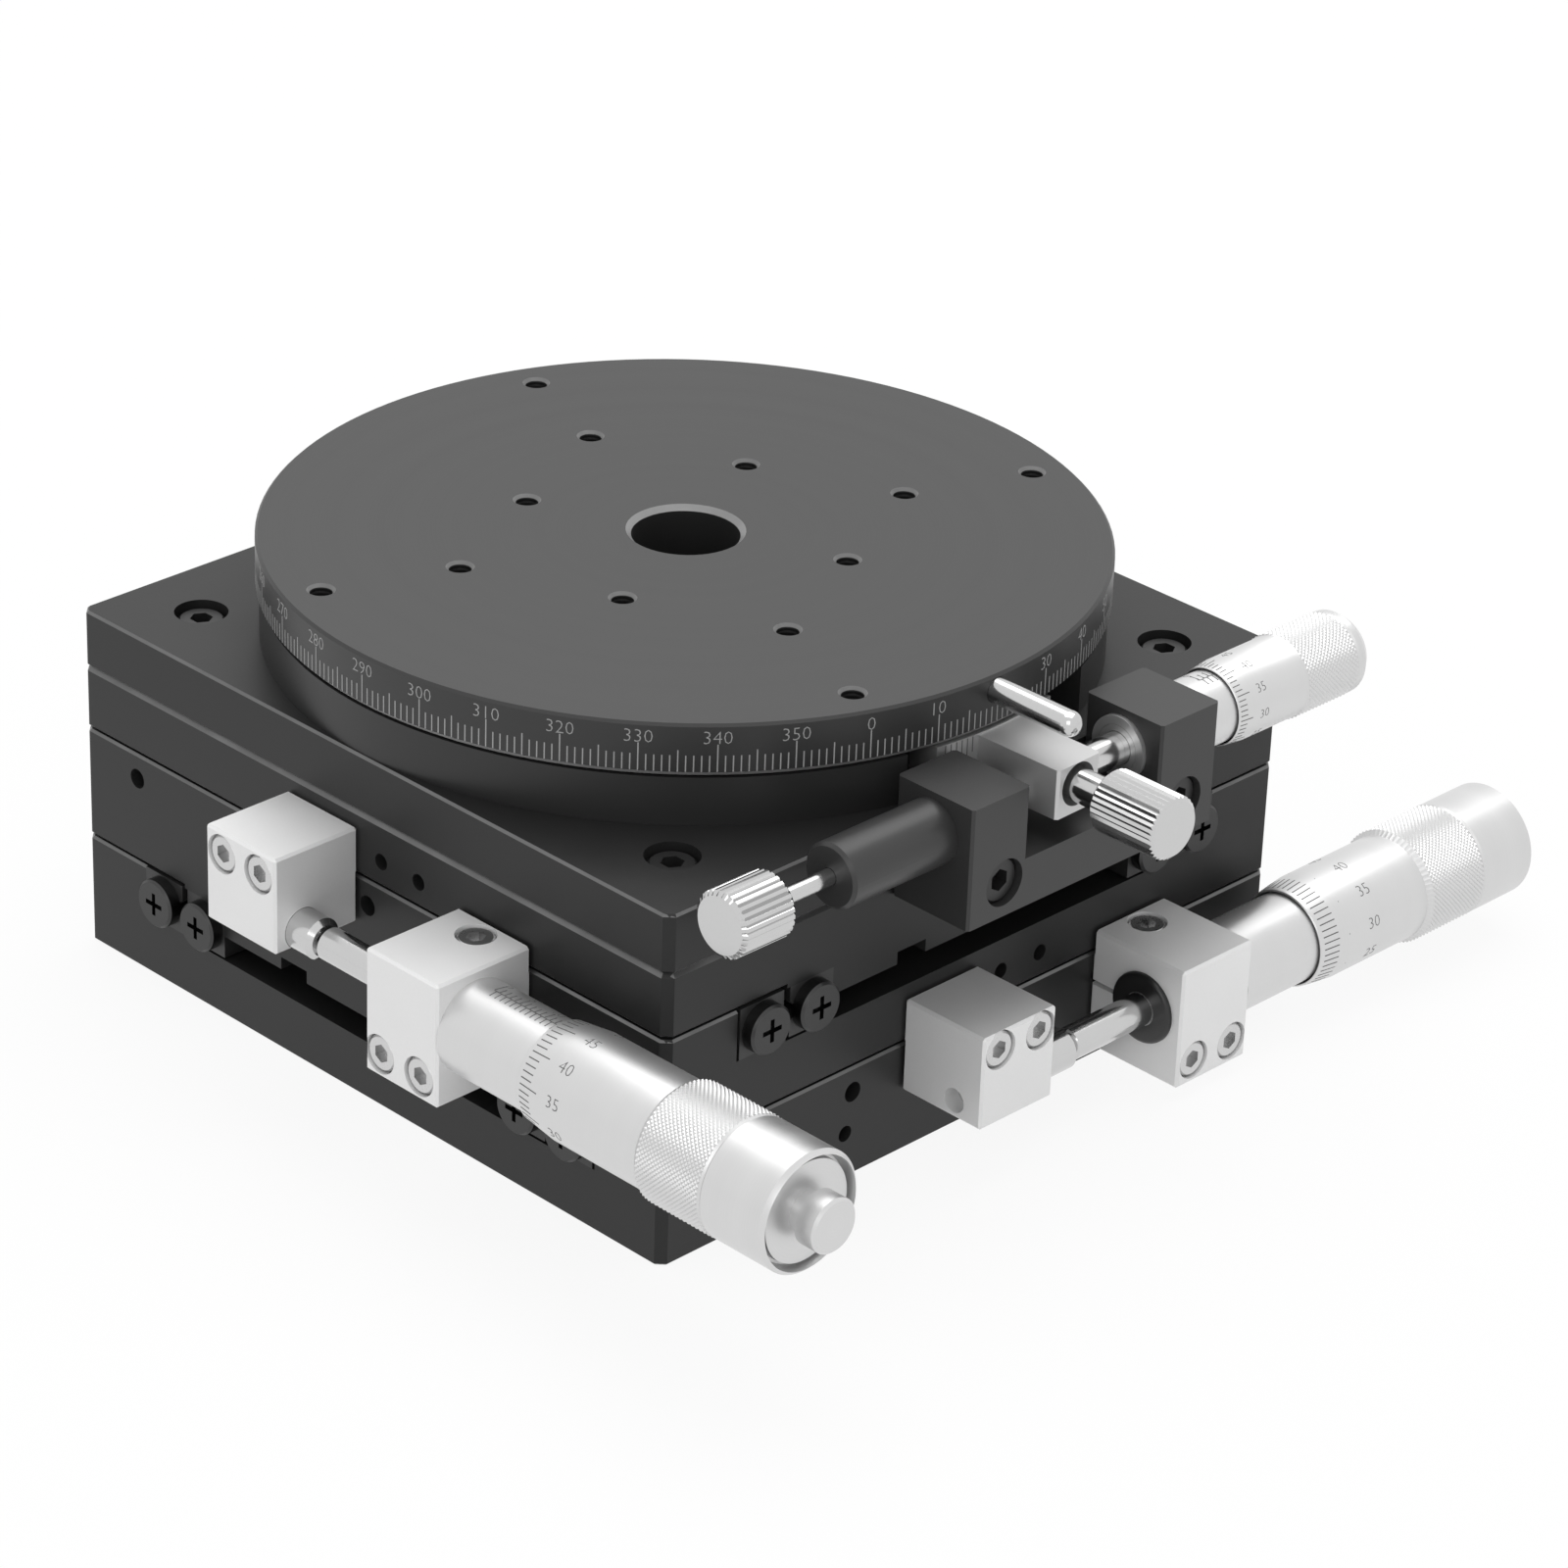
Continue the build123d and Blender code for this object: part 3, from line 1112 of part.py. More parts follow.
def build_blocks():
    """The four blocks on the plates' faces, their anvils, nuts and screws."""
    x_centre, y_centre = (X_AXIS_Y, X_AXIS_Z), (Y_AXIS_X, Y_AXIS_Z)
    keep("x_contact_block", contact_block(
        X_CONTACT, X_CONTACT_SCREWS, "Y", UPPER_BOTTOM + EDGE, False, x_centre))
    keep("y_contact_block", contact_block(
        Y_CONTACT, Y_CONTACT_SCREWS, "X", MIDDLE_BOTTOM + EDGE, False, y_centre))
    keep("x_holder_block", holder_block(
        X_HOLDER, X_HOLDER_SCREWS, "Y", MIDDLE_TOP - EDGE, x_centre))
    keep("y_holder_block", holder_block(
        Y_HOLDER, Y_HOLDER_SCREWS, "X", BASE_H - EDGE, y_centre))
    keep("x_anvil", anvil(X_CONTACT, "Y", x_centre))
    keep("y_anvil", anvil(Y_CONTACT, "X", y_centre))
    keep("base_block_screws", *block_screws(Y_HOLDER_SCREWS, Y_HOLDER, "X"))
    keep("base_block_screws", clamp_screw(Y_HOLDER, "X", Y_AXIS_Z))
    keep("middle_block_screws", *block_screws(Y_CONTACT_SCREWS, Y_CONTACT, "X"))
    keep("middle_block_screws", *block_screws(X_HOLDER_SCREWS, X_HOLDER, "Y"))
    keep("middle_block_screws", clamp_screw(X_HOLDER, "Y", X_AXIS_Z))
    keep("upper_block_screws", *block_screws(X_CONTACT_SCREWS, X_CONTACT, "Y"))
    x_nut = (X_HOLDER[0][0] - NUT_T, X_HOLDER[0][0], NUT_R, STEM_NUT_R + HOLE_PLAY)
    y_nut = (Y_HOLDER[1][0] - NUT_T, Y_HOLDER[1][0], NUT_R, STEM_NUT_R + HOLE_PLAY)
    keep("x_stem_nut", tube("X", *x_nut, *x_centre))
    keep("y_stem_nut", tube("Y", *y_nut, *y_centre))


def build_heads():
    """The three micrometer heads."""
    for axis, mark, limits, centre in (
        ("X", X_MARK, X_HOLDER[0], (X_AXIS_Y, X_AXIS_Z)),
        ("Y", Y_MARK, Y_HOLDER[1], (Y_AXIS_X, Y_AXIS_Z)),
    ):
        name = axis.lower() + "_head_"
        keep(name + "sleeve", large_sleeve(mark, *limits, axis, *centre))
        keep(name + "spindle", spindle(LARGE, mark, axis, *centre))
        keep(name + "thimble", thimble(LARGE, mark, axis, *centre))
        keep(name + "button", button(mark, axis, *centre))
    keep("fine_head_bush", fine_bush())
    keep("fine_head_sleeve", fine_sleeve())
    keep("fine_head_spindle", spindle(SMALL, FINE_MARK, "Y", FINE_X, FINE_Z))
    keep("fine_head_thimble", thimble(SMALL, FINE_MARK, "Y", FINE_X, FINE_Z))


def build_rotation():
    """The rotary stage on top: plate, bearing, drum, dial and clamping ring."""
    keep("rotary_plate", rotary_plate())
    for x in (-1, 1):
        for y in (-1, 1):
            point = (x * CORNER_PITCH / 2, y * CORNER_PITCH / 2, ROTARY_TOP - CORNER_SINK_D)
            keep("rotary_plate_screws", facing(point, (0, 0, 1), cap4(2 * CAP4_HEAD_H + CORNER_SCREW_SPARE)))
    keep("bearing_outer_race", v_race(True))
    keep("bearing_inner_race", v_race(False))
    keep("bearing_rollers", *bearing_rollers())
    keep("bearing_retainer", bearing_retainer())
    keep("retainer_screws", *retainer_screws())
    keep("hub_ring", tube("Z", RACE_BOTTOM - HUB_RING_H, RACE_BOTTOM, HUB_RING_R, HUB_RING_BORE))
    keep("drum_ring", drum_ring())
    keep("dial_plate", dial_plate())
    keep("dial_handle_pin", handle_pin())
    keep("clamp_ring", clamp_ring())
    keep("tangent_arm", tangent_arm())
    keep("lock_shoe", lock_shoe())
    keep("lock_knob", lock_knob())


def build_fine_drive():
    """The bracket with the spring plunger that pushes the arm back."""
    keep("fine_bracket", fine_bracket())
    keep("bracket_screws", *bracket_screws())
    keep("plunger_housing", plunger_housing())
    keep("plunger_rod", plunger_rod())
    keep("plunger_spring", plunger_spring())
    keep("plunger_knob", plunger_knob())


build_slides()
build_blocks()
build_heads()
build_rotation()
build_fine_drive()
for node, solids in NODES.items():
    pieces = [solid for shape in solids for solid in shape.solids()]
    model = pieces[0] if len(pieces) == 1 else Compound(children=pieces)
    export_step(model, f"parts/{node}.step")
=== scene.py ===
"""Dressing of a manual XY and rotation stage: finishes, scales, knurls, floor, light and camera.

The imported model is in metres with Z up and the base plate's underside at Z = 0. Sizes below are
in millimetres unless a name says otherwise. The X head stands in front of the plates, the Y head
and the fine rotation's bracket on their right.
"""

import logging
from dataclasses import dataclass
from enum import Enum
from math import atan2, cos, degrees, hypot, pi, radians, sin

import bmesh
import bpy
from mathutils import Matrix, Vector


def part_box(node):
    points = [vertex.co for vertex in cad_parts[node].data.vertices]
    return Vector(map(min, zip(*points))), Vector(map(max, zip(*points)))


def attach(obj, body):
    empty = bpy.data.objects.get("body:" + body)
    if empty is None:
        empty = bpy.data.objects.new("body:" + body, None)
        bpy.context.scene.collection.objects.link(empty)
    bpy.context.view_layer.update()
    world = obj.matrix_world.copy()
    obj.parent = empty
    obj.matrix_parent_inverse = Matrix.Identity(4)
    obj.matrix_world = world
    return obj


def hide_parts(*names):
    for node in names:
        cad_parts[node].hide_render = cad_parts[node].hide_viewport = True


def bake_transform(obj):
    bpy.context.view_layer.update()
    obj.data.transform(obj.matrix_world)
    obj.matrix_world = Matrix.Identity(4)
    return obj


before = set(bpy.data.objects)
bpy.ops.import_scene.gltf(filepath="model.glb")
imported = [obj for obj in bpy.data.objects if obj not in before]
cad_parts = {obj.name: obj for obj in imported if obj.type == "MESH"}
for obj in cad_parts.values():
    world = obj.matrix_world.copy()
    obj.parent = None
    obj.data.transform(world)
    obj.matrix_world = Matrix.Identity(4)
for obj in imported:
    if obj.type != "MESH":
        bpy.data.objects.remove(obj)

LOG = logging.getLogger("positioning_stage")
MM = 0.001
FULL_TURN = 2 * pi
PAINT = 0.03
MERGE_WITHIN = 1e-6
ON_RADIUS = 0.01
ROW_MARGIN = 0.1

# Shared effects: shares of a mix, limits of a surface's lean, and repeats per metre
PIT_SHARE = 0.45
FINE_SHARE = 0.6
# TAPPED_SHARE and BORE_SHARE set how strong the painted highlight is on the dial's hole bevels.
TAPPED_SHARE = 0.35
BORE_SHARE = 0.6
BEVEL_LEAN = 0.707
BEVEL_RANGE = 0.17
OUTWARD_LEAN = 0.5
UPRIGHT_LEAN = 0.3
RUB_SCALE = 140.0
BROAD_SCALE = 260.0
BEVEL_WEAR = 0.5
BEVEL_ROUGHNESS = 0.3
THREAD_WEIGHT = 40.0

# Edges that turn less than this many degrees are shaded smooth
SMOOTH_KNURL = 28.0
SMOOTH_RIDGE = 12.0
SMOOTH_NUT = 40.0
SMOOTH_PIN = 30.0
SMOOTH_WIRE = 60.0


def add_object(name: str, data: bpy.types.ID) -> bpy.types.Object:
    """Make an object and link it into the scene."""
    made = bpy.data.objects.new(name, data)
    bpy.context.scene.collection.objects.link(made)
    return made


class Direction(Enum):
    """The way that a turned piece's axis points."""

    X = (1.0, 0.0, 0.0)
    Y = (0.0, 1.0, 0.0)
    Z = (0.0, 0.0, 1.0)

    def place(self, origin: tuple[float, float, float]) -> Matrix:
        """Give the place of a turned piece.

        Args:
            origin: a point on the piece's axis, in millimetres.

        Returns:
            A matrix from the piece's own frame, with Z along the axis, to the model's, in metres.
        """
        along = Vector(self.value)
        start = Vector((1, 0, 0)) if self is Direction.Z else Vector((0, 0, 1))
        turn = Matrix((start, along.cross(start), along)).transposed().to_4x4()
        return Matrix.Translation(Vector(origin) * MM) @ turn


class Effect(Enum):
    """Surface effects that several finishes share, as shader node groups."""

    GRAIN = "blasted_grain"
    CUT_EDGE = "cut_edge"
    LATHE = "lathe_lines"
    THREAD = "thread_turns"


class Bevels(Enum):
    """Which bevels of a black piece get a painted highlight, partly also bare metal, by the
    effect's output.
    """

    NONE = ""
    PLATE = "Plate"
    DIAL = "Dial"


class Board:
    """A node tree with short ways to add, set and join its nodes."""

    def __init__(self, tree: bpy.types.NodeTree) -> None:
        """Keep the tree that the nodes go into."""
        self.tree = tree

    @classmethod
    def clear(cls, owner: bpy.types.ID) -> "Board":
        """Give the emptied board of a material or a world."""
        owner.use_nodes = True
        owner.node_tree.nodes.clear()
        return cls(owner.node_tree)

    def add(self, kind: str, **settings: object) -> bpy.types.Node:
        """Add a node.

        Args:
            kind: the node's type.
            **settings: attributes to set on it.

        Returns:
            The new node.
        """
        node = self.tree.nodes.new(kind)
        for name, value in settings.items():
            setattr(node, name, value)
        return node

    def feed(self, target: bpy.types.NodeSocket, value: object) -> None:
        """Link a socket into the target, or set the target to a plain value."""
        if isinstance(value, bpy.types.NodeSocket):
            self.tree.links.new(value, target)
        else:
            target.default_value = value

    def math(self, operation: str, *values: object) -> bpy.types.NodeSocket:
        """Add a Math node.

        Args:
            operation: the node's operation.
            *values: sockets or numbers for its inputs.

        Returns:
            Its result.
        """
        node = self.add("ShaderNodeMath", operation=operation)
        for target, value in zip(node.inputs, values):
            self.feed(target, value)
        return node.outputs[0]

    def noise(
        self, scale: object, detail: float, place: object, line: bool = False
    ) -> bpy.types.NodeSocket:
        """Add a noise texture.

        Args:
            scale: repeats per metre.
            detail: how many finer layers it has.
            place: the socket that it reads, a vector, or a distance where line is set.
            line: whether it runs along one line.

        Returns:
            The noise, from 0 to 1.
        """
        node = self.add("ShaderNodeTexNoise", noise_dimensions="1D" if line else "3D")
        self.feed(node.inputs["W" if line else "Vector"], place)
        self.feed(node.inputs["Scale"], scale)
        self.feed(node.inputs["Detail"], detail)
        return node.outputs[0]

    def split(self, vector: bpy.types.NodeSocket) -> bpy.types.bpy_prop_collection:
        """Split a vector and give its X, Y and Z by name."""
        node = self.add("ShaderNodeSeparateXYZ")
        self.feed(node.inputs[0], vector)
        return node.outputs

    def span(self, value: object, low: object, high: object) -> bpy.types.NodeSocket:
        """Spread a mask from 0 to 1 over a new range.

        Args:
            value: the mask.
            low: what 0 becomes.
            high: what 1 becomes.

        Returns:
            The spread value.
        """
        node = self.add("ShaderNodeMapRange")
        self.feed(node.inputs["Value"], value)
        self.feed(node.inputs["To Min"], low)
        self.feed(node.inputs["To Max"], high)
        return node.outputs[0]


class EffectGroup(Board):
    """A shared effect's node group, with named inputs and outputs."""

    def __init__(
        self, effect: Effect, vectors: list[str], numbers: list[str], outputs: list[str]
    ) -> None:
        """Make the empty group.

        Args:
            effect: which effect it holds.
            vectors: names of its vector inputs.
            numbers: names of its number inputs.
            outputs: names of its outputs, each a number.
        """
        super().__init__(bpy.data.node_groups.new(effect.value, "ShaderNodeTree"))
        kinds = ("INPUT", "Vector"), ("INPUT", "Float"), ("OUTPUT", "Float")
        for names, (way, kind) in zip((vectors, numbers, outputs), kinds):
            for name in names:
                self.tree.interface.new_socket(name, in_out=way, socket_type="NodeSocket" + kind)
        self.source = self.add("NodeGroupInput").outputs
        self.result = self.add("NodeGroupOutput").inputs


class EffectShelf:
    """Builds each shared effect once and places it in materials."""

    def __init__(self) -> None:
        """Build every effect."""
        self.blasted_grain()
        self.cut_edge()
        self.lathe_lines()
        self.thread_turns()

    @staticmethod
    def reach(group: EffectGroup, place: bpy.types.bpy_prop_collection) -> bpy.types.NodeSocket:
        """Give the distance from the Z axis.

        Args:
            group: the effect's nodes.
            place: the place, split into X, Y and Z.

        Returns:
            The distance, in metres.
        """
        squares = group.math("MULTIPLY", place["X"], place["X"])
        return group.math("SQRT", group.math("MULTIPLY_ADD", place["Y"], place["Y"], squares))

    def blasted_grain(self) -> None:
        """Bead-blasted pits under a slow change of tone."""
        group = EffectGroup(Effect.GRAIN, ["Place"], ["Pits", "Patches"], ["Tone", "Height"])
        pits = group.noise(group.source["Pits"], 3.0, group.source["Place"])
        patches = group.noise(group.source["Patches"], 2.0, group.source["Place"])
        slow = group.math("MULTIPLY", patches, 1 - PIT_SHARE)
        blend = group.math("MULTIPLY_ADD", pits, PIT_SHARE, slow)
        group.feed(group.result["Tone"], blend)
        group.feed(group.result["Height"], pits)

    def cut_edge(self) -> None:
        """Masks of bevels given a painted highlight: a plate's edges, partly also bare metal, and a
        dial's holes and downward-facing foot.
        """
        group = EffectGroup(Effect.CUT_EDGE, ["Place", "Normal"], ["Wear"], ["Plate", "Dial"])
        place = group.split(group.source["Place"])
        facing = group.split(group.source["Normal"])
        rise = group.math("ABSOLUTE", facing["Z"])
        lean = group.math("COMPARE", rise, BEVEL_LEAN, BEVEL_RANGE)
        rub = group.noise(RUB_SCALE, 4.0, group.source["Place"])
        kept = group.math("SUBTRACT", 1.0, group.math("MULTIPLY", rub, group.source["Wear"]))
        # Where the bevels' painted highlight goes, broken up by the rub noise.
        bright = group.math("MULTIPLY", lean, kept)
        sides = []
        for name in "XY":
            away = group.math("ABSOLUTE", place[name])
            far = group.math("GREATER_THAN", away, PLATE_EDGE * MM)
            turned = group.math("ABSOLUTE", facing[name])
            outward = group.math("GREATER_THAN", turned, OUTWARD_LEAN)
            sides.append(group.math("MULTIPLY", far, outward))
        plate = group.math("MULTIPLY", bright, group.math("MAXIMUM", *sides))
        group.feed(group.result["Plate"], plate)
        reach = self.reach(group, place)
        tapped = group.math("LESS_THAN", reach, TAPPED_RING[1] * MM)
        tapped = group.math("MULTIPLY", tapped, TAPPED_SHARE)
        bore = group.math("LESS_THAN", reach, TAPPED_RING[0] * MM)
        bore = group.math("MULTIPLY", bore, BORE_SHARE)
        # Painted reflection: every downward-facing bevel of the dial, its foot, is fully lightened
        # as if it caught the bright floor.
        foot = group.math("LESS_THAN", facing["Z"], 0.0)
        shown = group.math("MAXIMUM", tapped, group.math("MAXIMUM", bore, foot))
        group.feed(group.result["Dial"], group.math("MULTIPLY", bright, shown))

    def lathe_lines(self) -> None:
        """Fine rings that a lathe tool leaves, along the axis and across the end faces."""
        group = EffectGroup(Effect.LATHE, ["Place"], ["Lines"], ["Tone", "Height"])
        place = group.split(group.source["Place"])
        along = group.math("ADD", self.reach(group, place), place["Z"])
        fine = group.noise(group.source["Lines"], 2.0, along, line=True)
        broad = group.noise(BROAD_SCALE, 1.0, along, line=True)
        broad = group.math("MULTIPLY", broad, 1 - FINE_SHARE)
        group.feed(group.result["Tone"], group.math("MULTIPLY_ADD", fine, FINE_SHARE, broad))
        group.feed(group.result["Height"], fine)

    def thread_turns(self) -> None:
        """Screw-thread ridges down the walls of upright holes, inside a ring about the axis."""
        numbers = ["Pitch", "Inner", "Outer"]
        group = EffectGroup(Effect.THREAD, ["Place", "Normal"], numbers, ["Height"])
        place = group.split(group.source["Place"])
        wall = group.split(group.source["Normal"])
        reach = self.reach(group, place)
        inside = group.math("LESS_THAN", reach, group.source["Outer"])
        outside = group.math("GREATER_THAN", reach, group.source["Inner"])
        rise = group.math("ABSOLUTE", wall["Z"])
        upright = group.math("LESS_THAN", rise, UPRIGHT_LEAN)
        mask = group.math("MULTIPLY", group.math("MULTIPLY", inside, outside), upright)
        half = group.math("MULTIPLY", group.source["Pitch"], 0.5)
        ridge = group.math("DIVIDE", group.math("PINGPONG", place["Z"], half), half)
        group.feed(group.result["Height"], group.math("MULTIPLY", ridge, mask))


@dataclass(frozen=True)
class Axis:
    """A turned piece's axis, through a point in millimetres."""

    direction: Direction
    point: tuple[float, float, float]

    def place(self) -> Matrix:
        """Place of the turned piece's own frame in the model."""
        return self.direction.place(self.point)


@dataclass(frozen=True)
class Finish:
    """One surface finish; shades are linear greys, depths are in millimetres."""

    name: str
    slot: str
    shade: float
    roughness: float
    metallic: float = 0.0
    specular: float = 0.5
    spread: float = 0.12
    rough_spread: float = 0.06
    pits: float = 3200.0
    patches: float = 90.0
    depth: float = 0.002
    bevels: Bevels = Bevels.NONE
    # Grey and metalness of the bevels' painted highlight.
    bevel_highlight_shade: float = 0.2
    bevel_metal: float = 1.0
    axis: Axis | None = None
    lines: float = 5200.0
    thread_pitch: float = 0.0

    def turned(self, axis: Axis, suffix: str) -> "Finish":
        """Give this finish with its rings laid about an axis.

        Args:
            axis: the turned piece's axis.
            suffix: added to the name.

        Returns:
            The new finish.
        """
        values = dict(self.__dict__)
        values.update(name=self.name + "_" + suffix, axis=axis)
        return Finish(**values)

    def material(self) -> bpy.types.Material:
        """Give the finish's material, built when it is first asked for."""
        made = bpy.data.materials.get("finish_" + self.name)
        if made:
            return made
        made = bpy.data.materials.new("finish_" + self.name)
        self.wire(Board.clear(made))
        return made

    def wire(self, board: Board) -> None:
        """Join the finish's effects to its shader on a board."""
        shader = board.add("ShaderNodeBsdfPrincipled")
        board.feed(board.add("ShaderNodeOutputMaterial").inputs["Surface"], shader.outputs[0])
        shader.inputs["Specular IOR Level"].default_value = self.specular
        shader.inputs["Metallic"].default_value = self.metallic
        source = board.add("ShaderNodeTexCoord")
        place = source.outputs["Object"]
        if self.axis:
            place = self.turned_place(board, place)
        tone, height = self.surface(board, place)
        dark = self.shade * (1 - self.spread)
        pale = min(1.0, self.shade * (1 + self.spread))
        grey = board.span(tone, dark, pale)
        smooth, coarse = self.roughness - self.rough_spread, self.roughness + self.rough_spread
        rough = board.span(tone, smooth, coarse)
        # Bevels: a painted highlight, a lighter grey with more metal inside the mask.
        if self.bevels is not Bevels.NONE:
            mask = self.edge_mask(board, source)
            grey = self.toward(board, mask, grey, self.bevel_highlight_shade)
            rough = self.toward(board, mask, rough, BEVEL_ROUGHNESS)
            metal = self.toward(board, mask, 0.0, self.bevel_metal)
            board.feed(shader.inputs["Metallic"], metal)
        colour = board.add("ShaderNodeCombineColor")
        for channel in colour.inputs[:3]:
            board.feed(channel, grey)
        board.feed(shader.inputs["Base Color"], colour.outputs[0])
        board.feed(shader.inputs["Roughness"], rough)
        if self.thread_pitch:
            height = self.with_thread(board, source, height)
        bump = board.add("ShaderNodeBump")
        bump.inputs["Strength"].default_value = 1.0
        bump.inputs["Distance"].default_value = self.depth * MM
        board.feed(bump.inputs["Height"], height)
        board.feed(shader.inputs["Normal"], bump.outputs[0])

    def turned_place(self, board: Board, place: bpy.types.NodeSocket) -> bpy.types.NodeSocket:
        """Move object coordinates into the turned piece's own frame.

        Args:
            board: the material's nodes.
            place: object coordinates.

        Returns:
            Coordinates with Z along the axis.
        """
        matrix = self.axis.place()
        mapping = board.add("ShaderNodeMapping", vector_type="TEXTURE")
        mapping.inputs["Location"].default_value = matrix.to_translation()
        mapping.inputs["Rotation"].default_value = matrix.to_euler()
        board.feed(mapping.inputs["Vector"], place)
        return mapping.outputs[0]

    def surface(
        self, board: Board, place: bpy.types.NodeSocket
    ) -> tuple[bpy.types.NodeSocket, bpy.types.NodeSocket]:
        """Place the finish's main effect.

        Args:
            board: the material's nodes.
            place: coordinates that it reads.

        Returns:
            Its tone and its height.
        """
        if self.axis:
            made = self.effect(board, Effect.LATHE, Place=place, Lines=self.lines)
        else:
            made = self.effect(
                board, Effect.GRAIN, Place=place, Pits=self.pits, Patches=self.patches
            )
        return made["Tone"], made["Height"]

    def edge_mask(self, board: Board, source: bpy.types.Node) -> bpy.types.NodeSocket:
        """Give the mask of the bevels' painted highlight."""
        made = self.effect(
            board, Effect.CUT_EDGE, Place=source.outputs["Object"],
            Normal=source.outputs["Normal"], Wear=BEVEL_WEAR,
        )
        return made[self.bevels.value]

    def with_thread(
        self, board: Board, source: bpy.types.Node, height: bpy.types.NodeSocket
    ) -> bpy.types.NodeSocket:
        """Add the thread's ridges in tapped holes to a height.

        Args:
            board: the material's nodes.
            source: the texture coordinates.
            height: the height so far.

        Returns:
            The height with the ridges.
        """
        made = self.effect(
            board, Effect.THREAD, Place=source.outputs["Object"],
            Normal=source.outputs["Normal"], Pitch=self.thread_pitch * MM,
            Inner=TAPPED_RING[0] * MM, Outer=TAPPED_RING[1] * MM,
        )
        return board.math("MULTIPLY_ADD", made["Height"], THREAD_WEIGHT, height)

    @staticmethod
    def effect(board: Board, effect: Effect, **inputs: object) -> bpy.types.bpy_prop_collection:
        """Place a shared effect on a board.

        Args:
            board: the material's nodes.
            effect: which effect.
            **inputs: sockets or numbers for its inputs, by name.

        Returns:
            Its outputs, by name.
        """
        node = board.add("ShaderNodeGroup", node_tree=bpy.data.node_groups[effect.value])
        for name, value in inputs.items():
            board.feed(node.inputs[name], value)
        return node.outputs

    @staticmethod
    def toward(board: Board, mask: object, value: object, goal: float) -> bpy.types.NodeSocket:
        """Move a value to a goal where a mask is 1."""
        node = board.add("ShaderNodeMix", data_type="FLOAT")
        board.feed(node.inputs[0], mask)
        board.feed(node.inputs[2], value)
        node.inputs[3].default_value = goal
        return node.outputs[0]


TAPPED_RING = (12.0, 60.0)
PLATE_EDGE = 61.9
X_HEAD_AXIS = Axis(Direction.X, (52.3, -72.8, 31.1))
Y_HEAD_AXIS = Axis(Direction.Y, (72.8, 54.7, 13.1))
FINE_AXIS = Axis(Direction.Y, (69.4, 37.7, 56.0))
DIAL_AXIS = Axis(Direction.Z, (0.0, 0.0, 62.9))
LOCK_AXIS = Axis(Direction.X, (83.0, 1.7, 59.0))
PIN_AXIS = Axis(Direction.X, (62.5, 0.0, 68.6))

# Plate bevels are lightened by a painted highlight, partly also bare metal.
BLACK = Finish(
    "black_plate", "black_anodised", 0.017, 0.42, specular=0.3, spread=0.16, depth=0.006,
    bevels=Bevels.PLATE,
)
BLACK_BRACKET = Finish(
    "black_bracket", "black_anodised", 0.03, 0.42, specular=0.42, spread=0.16, depth=0.006,
)
# Dial bevels are lightened to a painted highlight; on the foot it stands in for the floor's
# reflection.
BLACK_DIAL = Finish(
    "black_dial", "black_anodised", 0.02, 0.4, specular=0.5, spread=0.08, bevels=Bevels.DIAL,
    bevel_highlight_shade=0.55, bevel_metal=0.35, axis=DIAL_AXIS, thread_pitch=0.7,
)
SILVER = Finish(
    "silver_block", "silver_anodised", 0.8, 0.5, metallic=0.3, spread=0.05, depth=0.008,
)
# A darker copy of the silver finish for the tangent arm: painted shade.
SILVER_ARM_SHADED = Finish(
    "silver_arm_shaded", "silver_anodised", 0.55, 0.42, metallic=0.75, spread=0.06, depth=0.008,
)
CHROME = Finish(
    "satin_chrome", "satin_chrome", 0.66, 0.36, metallic=0.85, spread=0.04, depth=0.0016,
)
POLISHED = Finish(
    "polished_steel", "polished_steel", 0.58, 0.16, metallic=1.0, spread=0.03, rough_spread=0.03,
    depth=0.0006,
)
RAIL = Finish(
    "ground_rail", "rail_steel", 0.05, 0.4, metallic=0.6, spread=0.1, pits=5200.0, depth=0.003,
)
RAIL_SCREW = Finish(
    "rail_screw", "black_screw", 0.065, 0.36, metallic=1.0, spread=0.15, depth=0.003,
)
BLACK_SCREW = Finish(
    "oiled_screw", "black_screw", 0.03, 0.38, metallic=0.4, spread=0.2, pits=2600.0, depth=0.004,
)
STEM_BLACK = Finish("stem_nut", "black_screw", 0.012, 0.3, spread=0.2)
BRIGHT_SCREW = Finish(
    "plated_screw", "bright_screw", 0.6, 0.28, metallic=1.0, spread=0.08, depth=0.003,
)
BRASS = Finish("brass", "brass", 0.5, 0.3, metallic=1.0, spread=0.1)
SPRING = Finish("spring_wire", "spring_steel", 0.45, 0.3, metallic=1.0, spread=0.1)
WHITE_PAINT = Finish("white_paint", "black_anodised", 0.36, 0.6, pits=6000.0)
DARK_PAINT = Finish("dark_paint", "satin_chrome", 0.1, 0.6, spread=0.25, pits=6000.0)

